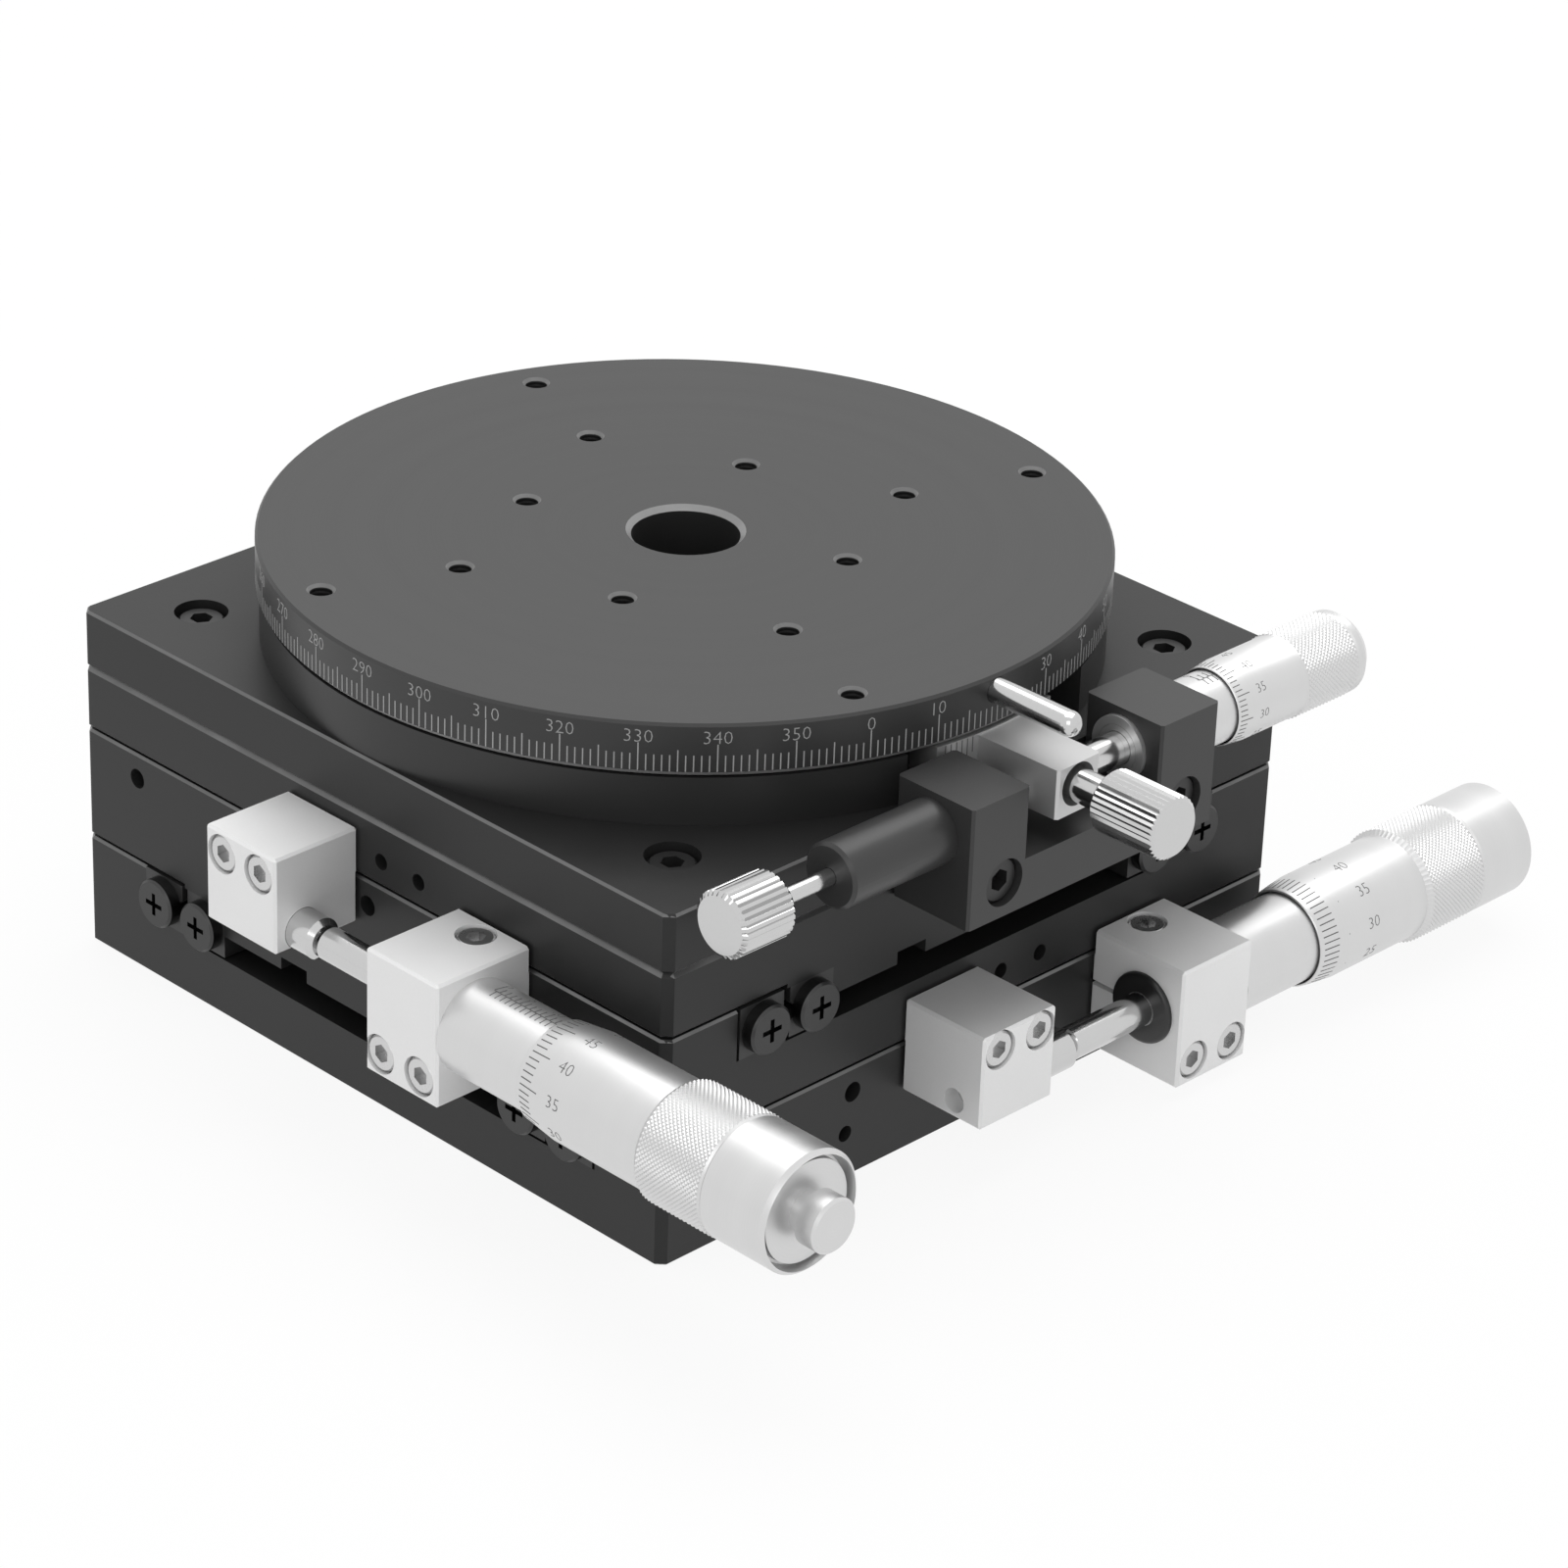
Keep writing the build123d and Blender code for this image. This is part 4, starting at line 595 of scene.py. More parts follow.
BY_SLOT = {
    finish.slot: finish
    for finish in (BLACK, SILVER, CHROME, POLISHED, RAIL, BLACK_SCREW, BRIGHT_SCREW, BRASS, SPRING)
}
OWN_FINISH = {
    "base_rail_screws": RAIL_SCREW,
    "middle_rail_screws": RAIL_SCREW,
    "upper_rail_screws": RAIL_SCREW,
    "bracket_screws": BLACK_SCREW,
    "fine_bracket": BLACK_BRACKET,
    "dial_plate": BLACK_DIAL,
    "tangent_arm": SILVER_ARM_SHADED,
    "drum_ring": Finish(
        "black_drum", "black_anodised", 0.024, 0.42, specular=0.36, spread=0.08, axis=DIAL_AXIS,
    ),
    "plunger_housing": Finish(
        "black_plunger", "black_anodised", 0.034, 0.34, specular=0.45, spread=0.08, axis=FINE_AXIS,
    ),
    "x_head_sleeve": CHROME.turned(X_HEAD_AXIS, "x"),
    "y_head_sleeve": CHROME.turned(Y_HEAD_AXIS, "y"),
    "fine_head_sleeve": CHROME.turned(FINE_AXIS, "fine"),
    "fine_head_bush": CHROME.turned(FINE_AXIS, "fine"),
    "x_head_button": CHROME.turned(X_HEAD_AXIS, "x"),
    "y_head_button": CHROME.turned(Y_HEAD_AXIS, "y"),
    "x_head_spindle": POLISHED.turned(X_HEAD_AXIS, "x"),
    "y_head_spindle": POLISHED.turned(Y_HEAD_AXIS, "y"),
    "fine_head_spindle": POLISHED.turned(FINE_AXIS, "fine"),
    "lock_knob": POLISHED.turned(LOCK_AXIS, "lock"),
    "plunger_knob": POLISHED.turned(FINE_AXIS, "fine"),
    "plunger_rod": POLISHED.turned(FINE_AXIS, "fine"),
    "dial_handle_pin": POLISHED.turned(PIN_AXIS, "pin"),
}


class Piece:
    """A new piece of the object: a bmesh that becomes a named object on a body."""

    def __init__(self, name: str, body: str, finish: Finish) -> None:
        """Start an empty piece.

        Args:
            name: the object's name.
            body: the moving body that carries it.
            finish: its surface finish.
        """
        self.name = name
        self.body = body
        self.finish = finish
        self.bm = bmesh.new()

    def done(
        self, place: Matrix | None = None, smooth_under: float = 0.0, *nodes: str,
        stretch: tuple[str, Vector, Vector] | None = None,
    ) -> bpy.types.Object:
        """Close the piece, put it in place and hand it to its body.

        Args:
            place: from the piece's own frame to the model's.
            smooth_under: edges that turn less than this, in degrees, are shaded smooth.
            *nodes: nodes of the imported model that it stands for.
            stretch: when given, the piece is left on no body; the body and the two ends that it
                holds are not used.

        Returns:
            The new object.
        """
        if place:
            bmesh.ops.transform(self.bm, matrix=place, verts=self.bm.verts)
        bmesh.ops.recalc_face_normals(self.bm, faces=self.bm.faces)
        limit = radians(smooth_under)
        for face in self.bm.faces:
            face.smooth = smooth_under > 0
        for edge in self.bm.edges:
            edge.smooth = edge.calc_face_angle(pi) < limit
        mesh = bpy.data.meshes.new(self.name)
        self.bm.to_mesh(mesh)
        self.bm.free()
        mesh.materials.append(self.finish.material())
        piece = add_object(self.name, mesh)
        if stretch:
            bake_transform(piece)
        else:
            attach(piece, self.body)
        if nodes:
            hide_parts(*nodes)
        LOG.info("%s: %d faces on %s", self.name, len(mesh.polygons), self.body)
        return piece

    def spin(self, outline: list[tuple[float, float]], steps: int) -> None:
        """Turn an outline about the piece's own Z axis.

        Args:
            outline: points as (place along, radius), in millimetres.
            steps: faces round it.
        """
        verts = [self.bm.verts.new((radius * MM, 0, along * MM)) for along, radius in outline]
        for first, second in zip(verts, verts[1:]):
            self.bm.edges.new((first, second))
        self.sweep(FULL_TURN, steps, 0, True)
        bmesh.ops.remove_doubles(self.bm, verts=self.bm.verts, dist=MERGE_WITHIN)

    def sweep(self, angle: float, steps: int, rise: float, closed: bool) -> None:
        """Sweep the edges so far about the piece's own Z axis.

        Args:
            angle: how far they turn, in radians.
            steps: faces on the way.
            rise: how far each step climbs, in metres.
            closed: whether the end meets the start.
        """
        bmesh.ops.spin(
            self.bm, geom=self.bm.verts[:] + self.bm.edges[:], cent=(0, 0, 0), axis=(0, 0, 1),
            dvec=(0, 0, rise), angle=angle, steps=steps, use_merge=closed,
            use_normal_flip=False, use_duplicate=False,
        )

    def stroke(self, centre: Matrix, size: tuple[float, float, float]) -> None:
        """Add a thin block.

        Args:
            centre: its place in the piece's own frame, in metres.
            size: its thickness, width and length in millimetres.
        """
        shape = Matrix.Diagonal((*size, 1 / MM)) * MM
        bmesh.ops.create_cube(self.bm, size=1.0, matrix=centre @ shape)

    def mark(
        self, angle: float, radius: float, along: float, size: tuple[float, float],
        lean: float = 0.0,
    ) -> None:
        """Add a paint stroke on a turned surface.

        Args:
            angle: its place round the piece's own Z axis, in degrees.
            radius: how far its middle is from the axis.
            along: its middle's place along the axis.
            size: its width and length.
            lean: how far it leans off the axis, in radians.
        """
        turn = Matrix.Rotation(radians(angle), 4, "Z")
        middle = Matrix.Translation(Vector((radius, 0, along)) * MM)
        self.stroke(turn @ middle @ Matrix.Rotation(lean, 4, "Y"), (PAINT, *size))


class Numerals:
    """Numbers in one height, kept flat until they are laid on a turned surface."""

    thinning = -0.02
    arc_faces = 2

    def __init__(self, height: float) -> None:
        """Keep the height of the figures."""
        self.height = height

    def flat(self, word: str) -> bpy.types.Mesh:
        """Give a number as a flat mesh, centred, in metres.

        Args:
            word: the number.

        Returns:
            Its mesh, which the caller removes.
        """
        curve = bpy.data.curves.new("numeral", "FONT")
        curve.body = word
        curve.resolution_u = self.arc_faces
        curve.offset = self.thinning
        curve.extrude = 0.5
        holder = add_object("numeral", curve)
        graph = bpy.context.evaluated_depsgraph_get()
        mesh = bpy.data.meshes.new_from_object(holder.evaluated_get(graph))
        bpy.data.objects.remove(holder)
        bpy.data.curves.remove(curve)
        low = Vector(map(min, *[v.co for v in mesh.vertices]))
        high = Vector(map(max, *[v.co for v in mesh.vertices]))
        scale = self.height * MM / (high.y - low.y)
        fit = Matrix.Diagonal((scale, scale, PAINT * MM, 1.0))
        mesh.transform(fit @ Matrix.Translation(-(low + high) / 2))
        return mesh

    def lay(
        self, piece: Piece, word: str, radius: float, angle: float, level: float, along: bool
    ) -> None:
        """Lay a number on a cylinder about the piece's own Z axis.

        Args:
            piece: the piece that it joins.
            word: the number.
            radius: the cylinder's radius.
            angle: the number's place round the axis, in degrees.
            level: its place along the axis.
            along: whether it reads along the axis instead of round it.
        """
        mesh = self.flat(word)
        first = len(piece.bm.verts)
        piece.bm.from_mesh(mesh)
        bpy.data.meshes.remove(mesh)
        piece.bm.verts.ensure_lookup_table()
        for vert in piece.bm.verts[first:]:
            u, v, out = vert.co
            reach = radius * MM + out
            turn = radians(angle) + (-v if along else u) / (radius * MM)
            vert.co = (reach * cos(turn), reach * sin(turn), level * MM + (u if along else v))


@dataclass(frozen=True)
class DialScale:
    """The degree scale on the dial's rim, every degree marked and every tenth numbered."""

    radius: float = 62.5
    foot: float = 63.75
    single: float = 2.5
    fifth: float = 3.3
    tenth: float = 4.2
    width: float = 0.18
    figure_height: float = 1.9
    figure_level: float = 69.0
    zero: float = -19.75
    hidden_figure: int = 20

    def mark_length(self, degree: int) -> float:
        """Length of one degree's mark."""
        if degree % 10 == 0:
            return self.tenth
        return self.single if degree % 5 else self.fifth

    def build(self) -> None:
        """Build the marks and the numbers."""
        marks = Piece("dial_marks", "dial", WHITE_PAINT)
        for degree in range(360):
            length = self.mark_length(degree)
            middle = self.foot + length / 2
            marks.mark(degree + self.zero, self.radius, middle, (self.width, length))
        marks.done()
        numbers = Piece("dial_numbers", "dial", WHITE_PAINT)
        figures = Numerals(self.figure_height)
        for degree in range(0, 360, 10):
            if degree != self.hidden_figure:
                angle = degree + self.zero
                figures.lay(numbers, str(degree), self.radius, angle, self.figure_level, False)
        numbers.done()


@dataclass(frozen=True)
class VernierScale:
    """The marks on the tangent arm's segment, just under the dial's rim."""

    radius: float = 62.2
    top: float = 62.5
    length: float = 2.4
    width: float = 0.2
    step: float = 0.917
    first: int = -9
    last: int = 13
    long_share: float = 1.35
    arm_half: float = 4.6
    arm_turn: float = 1.35

    def build(self) -> None:
        """Build the marks on both sides of the arm."""
        marks = Piece("vernier_marks", "fine_ring", DARK_PAINT)
        for index in range(self.first, self.last):
            angle = index * self.step
            if abs(angle - self.arm_turn) > self.arm_half:
                length = self.length * (self.long_share if index % 5 == 0 else 1.0)
                marks.mark(angle, self.radius, self.top - length / 2, (self.width, length))
        marks.done()


@dataclass(frozen=True)
class MicrometerHead:
    """One micrometer head's dressed pieces; places along it start at the thimble's front edge.

    Angles round the head are seen from its outer side: 0 faces away from the plates, 90 is up.
    """

    prefix: str
    axis: Axis
    sleeve_body: str
    thimble_body: str
    sleeve_r: float
    bore_r: float
    front_r: float
    taper: float
    thimble_r: float
    band_from: float
    band_to: float
    band_r: float
    tail_r: float
    length: float
    end_r: float
    end_bevel: float
    inset_r: float
    recess: float
    spindle_r: float
    spindle_end: float
    cavity: float
    divisions: int
    fortieth: float
    line: float
    reading: float
    travel: int
    mark_start: float
    mark_single: float
    mark_fifth: float
    figure_level: float
    figure_height: float
    knurls: int
    knurl_depth: float = 0.22
    stroke_width: float = 0.16
    sleeve_long: float = 1.9
    sleeve_short: float = 1.3
    sleeve_figure: float = 0.8
    figure_gap: float = 0.55
    blind_gap: float = 0.25
    mouth: float = 0.15
    chamfer: float = 0.1
    nose: float = 0.12
    tail_step: float = 0.35
    tail_dip: float = 0.25
    rim_round: tuple[float, float] = (0.08, 0.06)
    groove_depth: float = 0.9
    groove_width: float = 0.4
    disc_rise: float = 0.2
    disc_r: float = 6.4
    hub_r: float = 3.4

    def build(self) -> None:
        """Build the thimble and both scales."""
        self.thimble()
        self.thimble_scale()
        self.sleeve_scale()

    def polar(self, angle: float) -> float:
        """Turn an angle round the head into one about its own Z axis."""
        return 90.0 - angle

    def rows(self) -> int:
        """Count the knurl's half diamonds along the band."""
        pitch = pi * self.band_r / self.knurls
        return 2 * round((self.band_to - self.band_from) / pitch / 2)

    def outline(self) -> list[tuple[float, float]]:
        """Give the thimble's outline as (place along, radius), from inside to outside.

        Returns:
            The points, the first and last on the axis.
        """
        blind = self.spindle_end + self.blind_gap
        band_foot = self.band_from - (self.band_r - self.thimble_r) - self.chamfer
        points = [
            (blind, 0.0), (blind, self.spindle_r), (self.cavity, self.spindle_r),
            (self.cavity, self.bore_r), (self.mouth, self.bore_r),
            (0.0, self.bore_r + self.chamfer), (0.0, self.front_r - self.nose),
            (self.nose, self.front_r), (self.taper, self.thimble_r), (band_foot, self.thimble_r),
        ]
        step = (self.band_to - self.band_from) / self.rows()
        points += [(self.band_from + step * row, self.band_r) for row in range(self.rows() + 1)]
        back, drop = self.rim_round
        points += [
            (self.band_to + self.tail_step, self.tail_r - self.tail_dip),
            (self.band_to + 2 * self.tail_step, self.tail_r),
            (self.length - self.end_bevel, self.tail_r), (self.length - back, self.end_r + drop),
            (self.length, self.end_r),
        ]
        if self.recess:
            floor = self.length - self.recess
            bottom, disc = floor - self.groove_depth, floor + self.disc_rise
            inner = self.inset_r - self.groove_width
            points += [(bottom, self.inset_r), (bottom, inner), (disc, inner - self.chamfer)]
            points += [(disc, self.disc_r), (floor, self.hub_r), (floor, 0.0)]
        else:
            points += [(self.length, 0.0)]
        return points

    def thimble(self) -> None:
        """Spin the thimble and cut the diamond knurl in its band."""
        piece = Piece(self.prefix + "_thimble_dressed", self.thimble_body,
                      CHROME.turned(self.axis, self.prefix))
        piece.spin(self.outline(), 2 * self.knurls)
        self.knurl(piece.bm)
        piece.done(self.axis.place(), SMOOTH_KNURL, self.prefix + "_thimble")

    def knurl(self, bm: bmesh.types.BMesh) -> None:
        """Sink every second point of the band and join the sunk ones into crossing grooves.

        Args:
            bm: the spun thimble, in the head's own frame.
        """
        step = (self.band_to - self.band_from) / self.rows()
        sunk = []
        for vert in bm.verts:
            reach = hypot(vert.co.x, vert.co.y) / MM
            row = (vert.co.z / MM - self.band_from) / step
            in_band = -ROW_MARGIN < row < self.rows() + ROW_MARGIN
            if abs(reach - self.band_r) > ON_RADIUS or not in_band:
                continue
            column = atan2(vert.co.y, vert.co.x) / FULL_TURN * 2 * self.knurls
            if (round(row) + round(column)) % 2:
                shrink = 1 - self.knurl_depth / self.band_r
                vert.co.x *= shrink
                vert.co.y *= shrink
                sunk.append(vert)
        bmesh.ops.connect_verts(bm, verts=sunk)

    def surface_r(self, along: float) -> float:
        """Radius of the thimble's plain part at a place along it."""
        if along >= self.taper:
            return self.thimble_r
        return self.front_r + (self.thimble_r - self.front_r) * along / self.taper

    def thimble_scale(self) -> None:
        """Mark the thimble's divisions and number every fifth."""
        marks = Piece(self.prefix + "_thimble_scale", self.thimble_body, DARK_PAINT)
        figures = Numerals(self.figure_height)
        step = 360.0 / self.divisions
        for division in range(self.divisions):
            angle = self.polar(self.fortieth + (division - 40) * step)
            long = division % 5 == 0
            end = self.mark_start + (self.mark_fifth if long else self.mark_single)
            low, high = self.surface_r(self.mark_start), self.surface_r(end)
            length = end - self.mark_start
            middle, lean = (self.mark_start + end) / 2, atan2(high - low, length)
            marks.mark(angle, (low + high) / 2, middle, (self.stroke_width, length), lean)
            if long:
                radius = self.surface_r(self.figure_level)
                figures.lay(marks, str(division), radius, angle, self.figure_level, True)
        marks.done(self.axis.place())

    def sleeve_scale(self) -> None:
        """Mark the sleeve's line, its millimetres and half millimetres."""
        marks = Piece(self.prefix + "_sleeve_scale", self.sleeve_body, DARK_PAINT)
        figures = Numerals(self.figure_height * self.sleeve_figure)
        line = self.polar(self.line)
        zero = -self.reading
        size = (self.stroke_width, self.travel)
        marks.mark(line, self.sleeve_r, zero + self.travel / 2, size)
        for half in range(2 * self.travel + 1):
            length = self.sleeve_short if half % 10 else self.sleeve_long
            side = 1 if half % 2 else -1
            arc = side * degrees((length / 2 + self.stroke_width / 2) / self.sleeve_r)
            size = (length, self.stroke_width)
            marks.mark(line + arc, self.sleeve_r, zero + half / 2, size)
            if half % 10 == 0:
                arc = length + self.figure_height * self.figure_gap
                away = line - degrees(arc / self.sleeve_r)
                figures.lay(marks, str(half // 2), self.sleeve_r, away, zero + half / 2, True)
        marks.done(self.axis.place())


@dataclass(frozen=True)
class StemNut:
    """The black ring nut round a spindle, rounded outside, with a lip over the stem's end."""

    prefix: str
    axis: Axis
    body: str
    face: float
    thickness: float = 0.8
    lip: float = 0.05
    lip_r: float = 2.62
    bore_r: float = 3.55
    rim_r: float = 5.55
    round_r: float = 0.6
    round_steps: int = 6
    faces: int = 96

    def build(self) -> None:
        """Spin the nut, in the head's own frame."""
        front = self.face - self.thickness
        tip = front - self.lip
        outline = [
            (self.face, self.bore_r), (front, self.bore_r), (front, self.lip_r), (tip, self.lip_r),
        ]
        for step in range(self.round_steps + 1):
            turn = pi / 2 * step / self.round_steps
            along = tip + self.round_r * (1 - cos(turn))
            outline.append((along, self.rim_r - self.round_r * (1 - sin(turn))))
        outline += [(self.face, self.rim_r), (self.face, self.bore_r)]
        piece = Piece(self.prefix + "_stem_nut_dressed", self.body, STEM_BLACK)
        piece.spin(outline, self.faces)
        piece.done(self.axis.place(), SMOOTH_NUT, self.prefix + "_stem_nut")


@dataclass(frozen=True)
class CounterboreLip:
    """The thin metal that closes a counterbore where it runs out through a block's top."""

    across: tuple[float, ...] = (-12.3, -4.1)
    top: float = 25.1
    front: float = 77.62
    depth: float = 3.2
    half_width: float = 1.0
    skin: float = 0.05
    proud: float = 0.004

    def build(self) -> None:
        """Lay a skin over each opening."""
        piece = Piece("y_contact_lips", "middle_carriage", SILVER)
        for place in self.across:
            level = self.top + self.proud - self.skin / 2
            middle = Vector((self.front - self.depth / 2, place, level)) * MM
            size = (self.depth, 2 * self.half_width, self.skin)
            piece.stroke(Matrix.Translation(middle), size)
        piece.done()


@dataclass(frozen=True)
class PullKnob:
    """The plunger's knob: wide ridges between narrow grooves, bevelled ends, a bore for the rod."""

    outer: float = -97.6
    length: float = 9.7
    radius: float = 4.94
    face_r: float = 4.25
    bevel: float = 0.5
    bore_r: float = 1.3
    bore: float = 6.0
    ridges: int = 30
    columns: int = 4
    groove: float = 0.3

    def build(self) -> None:
        """Spin the knob and sink its grooves."""
        inner = self.outer + self.length
        outline = [
            (self.outer, 0.0), (self.outer, self.face_r), (self.outer + self.bevel, self.radius),
            (inner - self.bevel, self.radius), (inner, self.radius - self.bevel),
            (inner, self.bore_r), (inner - self.bore, self.bore_r), (inner - self.bore, 0.0),
        ]
        piece = Piece("plunger_knob_dressed", "plunger", POLISHED.turned(FINE_AXIS, "fine"))
        piece.spin(outline, self.columns * self.ridges)
        shrink = 1 - self.groove / self.radius
        for vert in piece.bm.verts:
            column = atan2(vert.co.y, vert.co.x) / FULL_TURN * self.columns * self.ridges
            on_ridge = abs(hypot(vert.co.x, vert.co.y) / MM - self.radius) < ON_RADIUS
            if on_ridge and round(column) % self.columns == 0:
                vert.co.x *= shrink
                vert.co.y *= shrink
        piece.done(FINE_AXIS.place(), SMOOTH_RIDGE, "plunger_knob")


@dataclass(frozen=True)
class AnvilSleeve:
    """The front of the Y slide's anvil pin, up to the spindle's tip."""

    root: float = -0.85
    tip: float = 6.6
    radius: float = 3.17
    bevel: float = 0.3
    faces: int = 64

    def build(self) -> None:
        """Spin the sleeve about the head's axis, its places given in the model."""
        outline = [
            (self.root, 0.0), (self.root, self.radius), (self.tip - self.bevel, self.radius),
            (self.tip, self.radius - self.bevel), (self.tip, 0.0),
        ]
        piece = Piece("y_anvil_sleeve", "middle_carriage", POLISHED.turned(Y_HEAD_AXIS, "y"))
        piece.spin(outline, self.faces)
        x, _, z = Y_HEAD_AXIS.point
        piece.done(Y_HEAD_AXIS.direction.place((x, 0.0, z)), SMOOTH_PIN)


@dataclass(frozen=True)
class CoilSpring:
    """A hidden spring, wound from wire, between two bodies."""

    node: str
    direction: Direction
    fixed: str
    moving: str
    fixed_low: bool
    wire: float
    turns: int
    sides: int = 8
    steps: int = 20

    def build(self) -> None:
        """Wind the spring inside its node's box."""
        low, high = (Vector(corner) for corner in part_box(self.node))
        along = Vector(self.direction.value)
        length = along.dot(high - low)
        middle = (low + high) / 2
        foot, head = middle - along * length / 2, middle + along * length / 2
        wire_r = self.wire / 2 * MM
        radius = (sum(high - low) - length) / 4 - wire_r
        piece = Piece(self.node + "_wound", self.fixed, SPRING)
        section = Matrix.Translation((radius, 0, wire_r)) @ Matrix.Rotation(pi / 2, 4, "X")
        bmesh.ops.create_circle(piece.bm, segments=self.sides, radius=wire_r, matrix=section)
        count = self.turns * self.steps
        rise = (length - 2 * wire_r) / count
        piece.sweep(FULL_TURN * self.turns, count, rise, False)
        bmesh.ops.holes_fill(piece.bm, edges=piece.bm.edges[:], sides=self.sides)
        ends = (foot, head) if self.fixed_low else (head, foot)
        place = self.direction.place(tuple(foot / MM))
        piece.done(place, SMOOTH_WIRE, self.node, stretch=(self.moving, *ends))


LARGE_SIZES = dict(
    sleeve_r=7.05, bore_r=7.3, front_r=7.62, taper=5.6, thimble_r=8.3, band_from=24.6, band_to=36.2,
    band_r=9.1, tail_r=8.98, length=48.3, end_r=8.35, end_bevel=0.62, inset_r=7.95, recess=1.0,
    spindle_r=2.55, spindle_end=45.7, cavity=30.0, divisions=50, travel=25, reading=12.96,
    figure_height=1.75, knurls=72,
)
SMALL_SIZES = dict(
    sleeve_r=5.5, bore_r=5.75, front_r=5.95, taper=3.6, thimble_r=6.3, band_from=14.8, band_to=25.6,
    band_r=6.55, tail_r=6.4, length=28.9, end_r=5.3, end_bevel=1.5, inset_r=0.0, recess=0.0,
    spindle_r=2.55, spindle_end=26.7, cavity=15.0, divisions=50, travel=13, reading=3.0,
    mark_start=0.4, mark_single=1.3, mark_fifth=2.3, figure_level=5.2, figure_height=1.35,
    knurls=52, knurl_depth=0.17, stroke_width=0.13,
)
HEADS = (
    MicrometerHead(
        "x_head", X_HEAD_AXIS, "middle_carriage", "x_thimble", fortieth=47.0, line=90.9,
        mark_start=0.6, mark_single=2.2, mark_fifth=3.7, figure_level=7.6, **LARGE_SIZES,
    ),
    MicrometerHead(
        "y_head", Y_HEAD_AXIS, "base", "y_thimble", fortieth=86.0, line=129.9,
        mark_start=0.8, mark_single=2.9, mark_fifth=5.1, figure_level=11.5, **LARGE_SIZES,
    ),
    MicrometerHead(
        "fine_head", FINE_AXIS, "upper_carriage", "fine_thimble", fortieth=70.0, line=84.4,
        **SMALL_SIZES,
    ),
)

STEM_NUTS = (
    StemNut("x", X_HEAD_AXIS, "middle_carriage", face=-31.5),
    StemNut("y", Y_HEAD_AXIS, "base", face=-30.7),
)
SPRINGS = (
    CoilSpring("y_return_spring", Direction.Y, "base", "middle_carriage", False, 0.6, 36),
    CoilSpring("x_return_spring", Direction.X, "middle_carriage", "upper_carriage", False, 0.6, 36),
    CoilSpring("plunger_spring", Direction.Y, "upper_carriage", "plunger", True, 0.5, 10),
)


class Frame:
    """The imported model's own nodes, which keep their shape and get their finishes."""

    def dress(self) -> None:
        """Give each node the finish of its piece, or else of its slot."""
        for name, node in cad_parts.items():
            slot = node.material_slots[0].name.split(".")[0]
            finish = OWN_FINISH.get(name, BY_SLOT[slot])
            for holder in node.material_slots:
                holder.material = finish.material()
            LOG.info("%s: %s", name, finish.name)


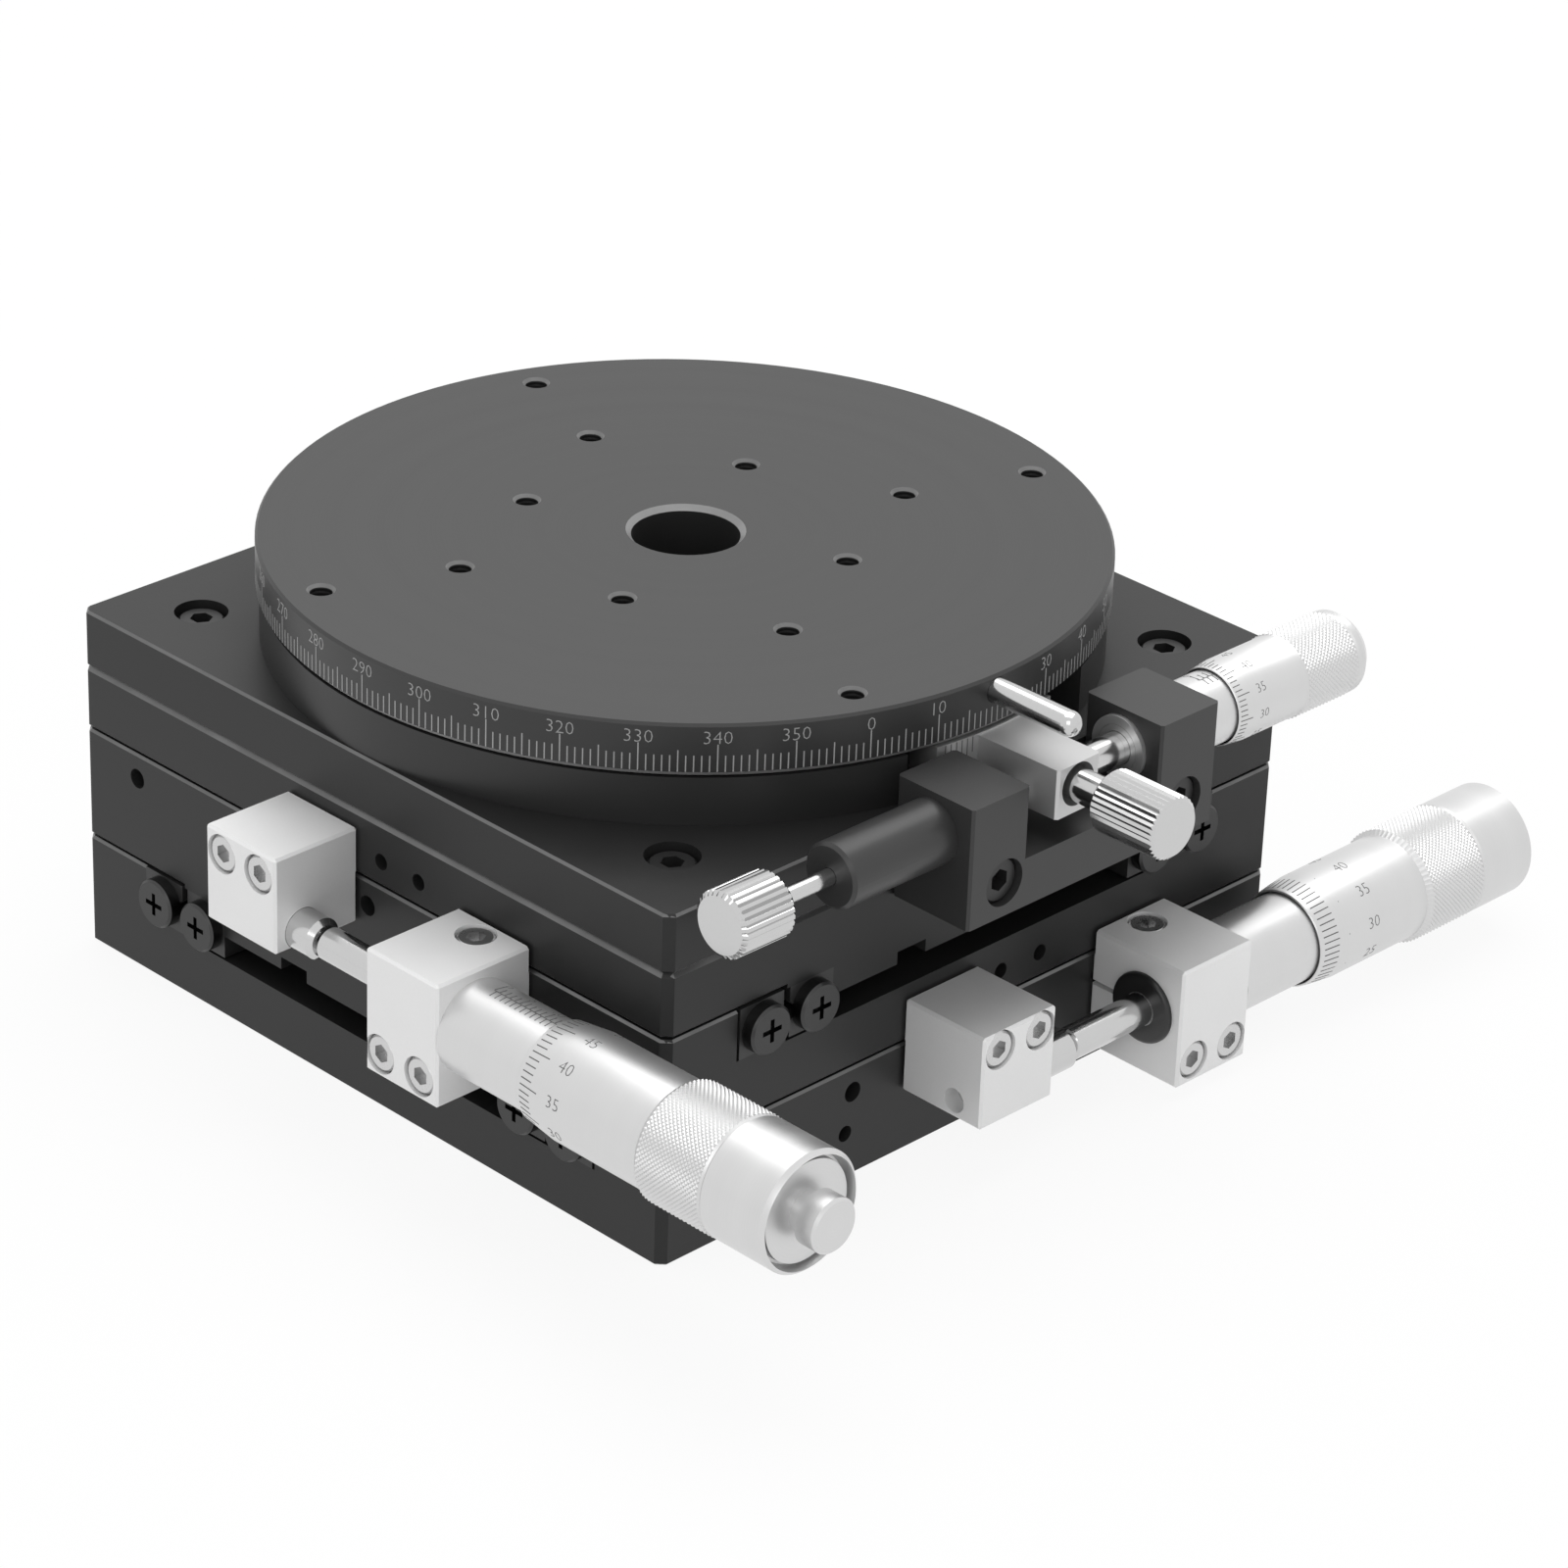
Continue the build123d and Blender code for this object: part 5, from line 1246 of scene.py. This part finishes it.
@dataclass(frozen=True)
class Studio:
    """Floor, light and camera; distances here are in metres."""

    azimuth: float = 44.312
    elevation: float = 27.618
    roll: float = 2.102
    distance: float = 0.845466
    aim: tuple[float, float, float] = (0.0, 0.0, 0.036)
    aim_right: float = 0.015409
    aim_up: float = -0.006089
    lens: float = 130.845
    sensor: float = 36.0
    clip: tuple[float, float] = (0.02, 20.0)
    floor_radius: float = 4.0
    floor_faces: int = 96
    floor_shade: float = 0.86
    floor_glow: float = 0.9
    ambient: float = 0.66

    def build(self) -> None:
        """Set the whole studio up."""
        self.floor()
        self.world()
        self.softbox("overhead_box", (-0.15, 0.25, 1.05), (1.1, 1.1), 8.0)
        self.softbox("front_box", (0.75, -0.95, 0.75), (0.7, 0.7), 1.9)
        self.camera()
        bpy.context.scene.view_settings.view_transform = "Standard"

    def seen(self, board: Board) -> bpy.types.NodeSocket:
        """Give the factor of rays that should see the white background."""
        path = board.add("ShaderNodeLightPath").outputs
        direct = board.math("MAXIMUM", path["Is Camera Ray"], path["Is Glossy Ray"])
        return board.math("MAXIMUM", direct, path["Is Transmission Ray"])

    def floor(self) -> None:
        """Lay a round white floor that keeps soft shadows."""
        bm = bmesh.new()
        bmesh.ops.create_circle(
            bm, cap_ends=True, segments=self.floor_faces, radius=self.floor_radius
        )
        mesh = bpy.data.meshes.new("floor")
        bm.to_mesh(mesh)
        bm.free()
        floor = add_object("floor", mesh)
        made = bpy.data.materials.new("floor_white")
        board = Board.clear(made)
        paper = board.add("ShaderNodeBsdfDiffuse")
        paper.inputs["Color"].default_value = (*[self.floor_shade] * 3, 1.0)
        glow = board.add("ShaderNodeEmission")
        mix = board.add("ShaderNodeMixShader")
        board.feed(mix.inputs[0], board.math("MULTIPLY", self.seen(board), self.floor_glow))
        board.feed(mix.inputs[1], paper.outputs[0])
        board.feed(mix.inputs[2], glow.outputs[0])
        result = board.add("ShaderNodeOutputMaterial")
        board.feed(result.inputs["Surface"], mix.outputs[0])
        mesh.materials.append(made)

    def world(self) -> None:
        """Make a white surround with a softer light of its own."""
        world = bpy.data.worlds.new("surround")
        bpy.context.scene.world = world
        board = Board.clear(world)
        soft = board.add("ShaderNodeBackground")
        soft.inputs["Strength"].default_value = self.ambient
        white = board.add("ShaderNodeBackground")
        for background in (soft, white):
            background.inputs["Color"].default_value = (1.0, 1.0, 1.0, 1.0)
        mix = board.add("ShaderNodeMixShader")
        board.feed(mix.inputs[0], self.seen(board))
        board.feed(mix.inputs[1], soft.outputs[0])
        board.feed(mix.inputs[2], white.outputs[0])
        board.feed(board.add("ShaderNodeOutputWorld").inputs["Surface"], mix.outputs[0])

    def softbox(
        self, name: str, place: tuple[float, float, float], size: tuple[float, float],
        watts: float,
    ) -> None:
        """Hang a soft lamp that looks at the object.

        Args:
            name: the lamp's name.
            place: where it hangs.
            size: its width and depth.
            watts: its power.
        """
        lamp = bpy.data.lights.new(name, "AREA")
        lamp.shape = "RECTANGLE"
        lamp.size, lamp.size_y = size
        lamp.energy = watts
        holder = add_object(name, lamp)
        view = Vector(self.aim) - Vector(place)
        look = view.to_track_quat("-Z", "Y").to_matrix().to_4x4()
        holder.matrix_world = Matrix.Translation(place) @ look

    def camera(self) -> None:
        """Set the camera where the photograph was taken."""
        turn, rise, roll = radians(self.azimuth), radians(self.elevation), radians(self.roll)
        back = Vector((sin(turn) * cos(rise), -cos(turn) * cos(rise), sin(rise)))
        level = Vector((cos(turn), sin(turn), 0.0))
        upright = back.cross(level)
        right = cos(roll) * level + sin(roll) * upright
        up = cos(roll) * upright - sin(roll) * level
        target = Vector(self.aim) + self.aim_right * right + self.aim_up * up
        camera = bpy.data.cameras.new("camera")
        camera.lens = self.lens
        camera.sensor_width = self.sensor
        camera.clip_start, camera.clip_end = self.clip
        holder = add_object("camera", camera)
        axes = Matrix((right, up, back)).transposed().to_4x4()
        holder.matrix_world = Matrix.Translation(target + back * self.distance) @ axes
        bpy.context.scene.camera = holder


def main() -> None:
    """Build every piece."""
    logging.basicConfig(level=logging.INFO, format="%(message)s")
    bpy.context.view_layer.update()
    EffectShelf()
    Studio().build()
    Frame().dress()
    DialScale().build()
    VernierScale().build()
    for head in HEADS:
        head.build()
    for piece in (*STEM_NUTS, *SPRINGS, PullKnob(), AnvilSleeve(), CounterboreLip()):
        piece.build()


if __name__ == "__main__":
    main()
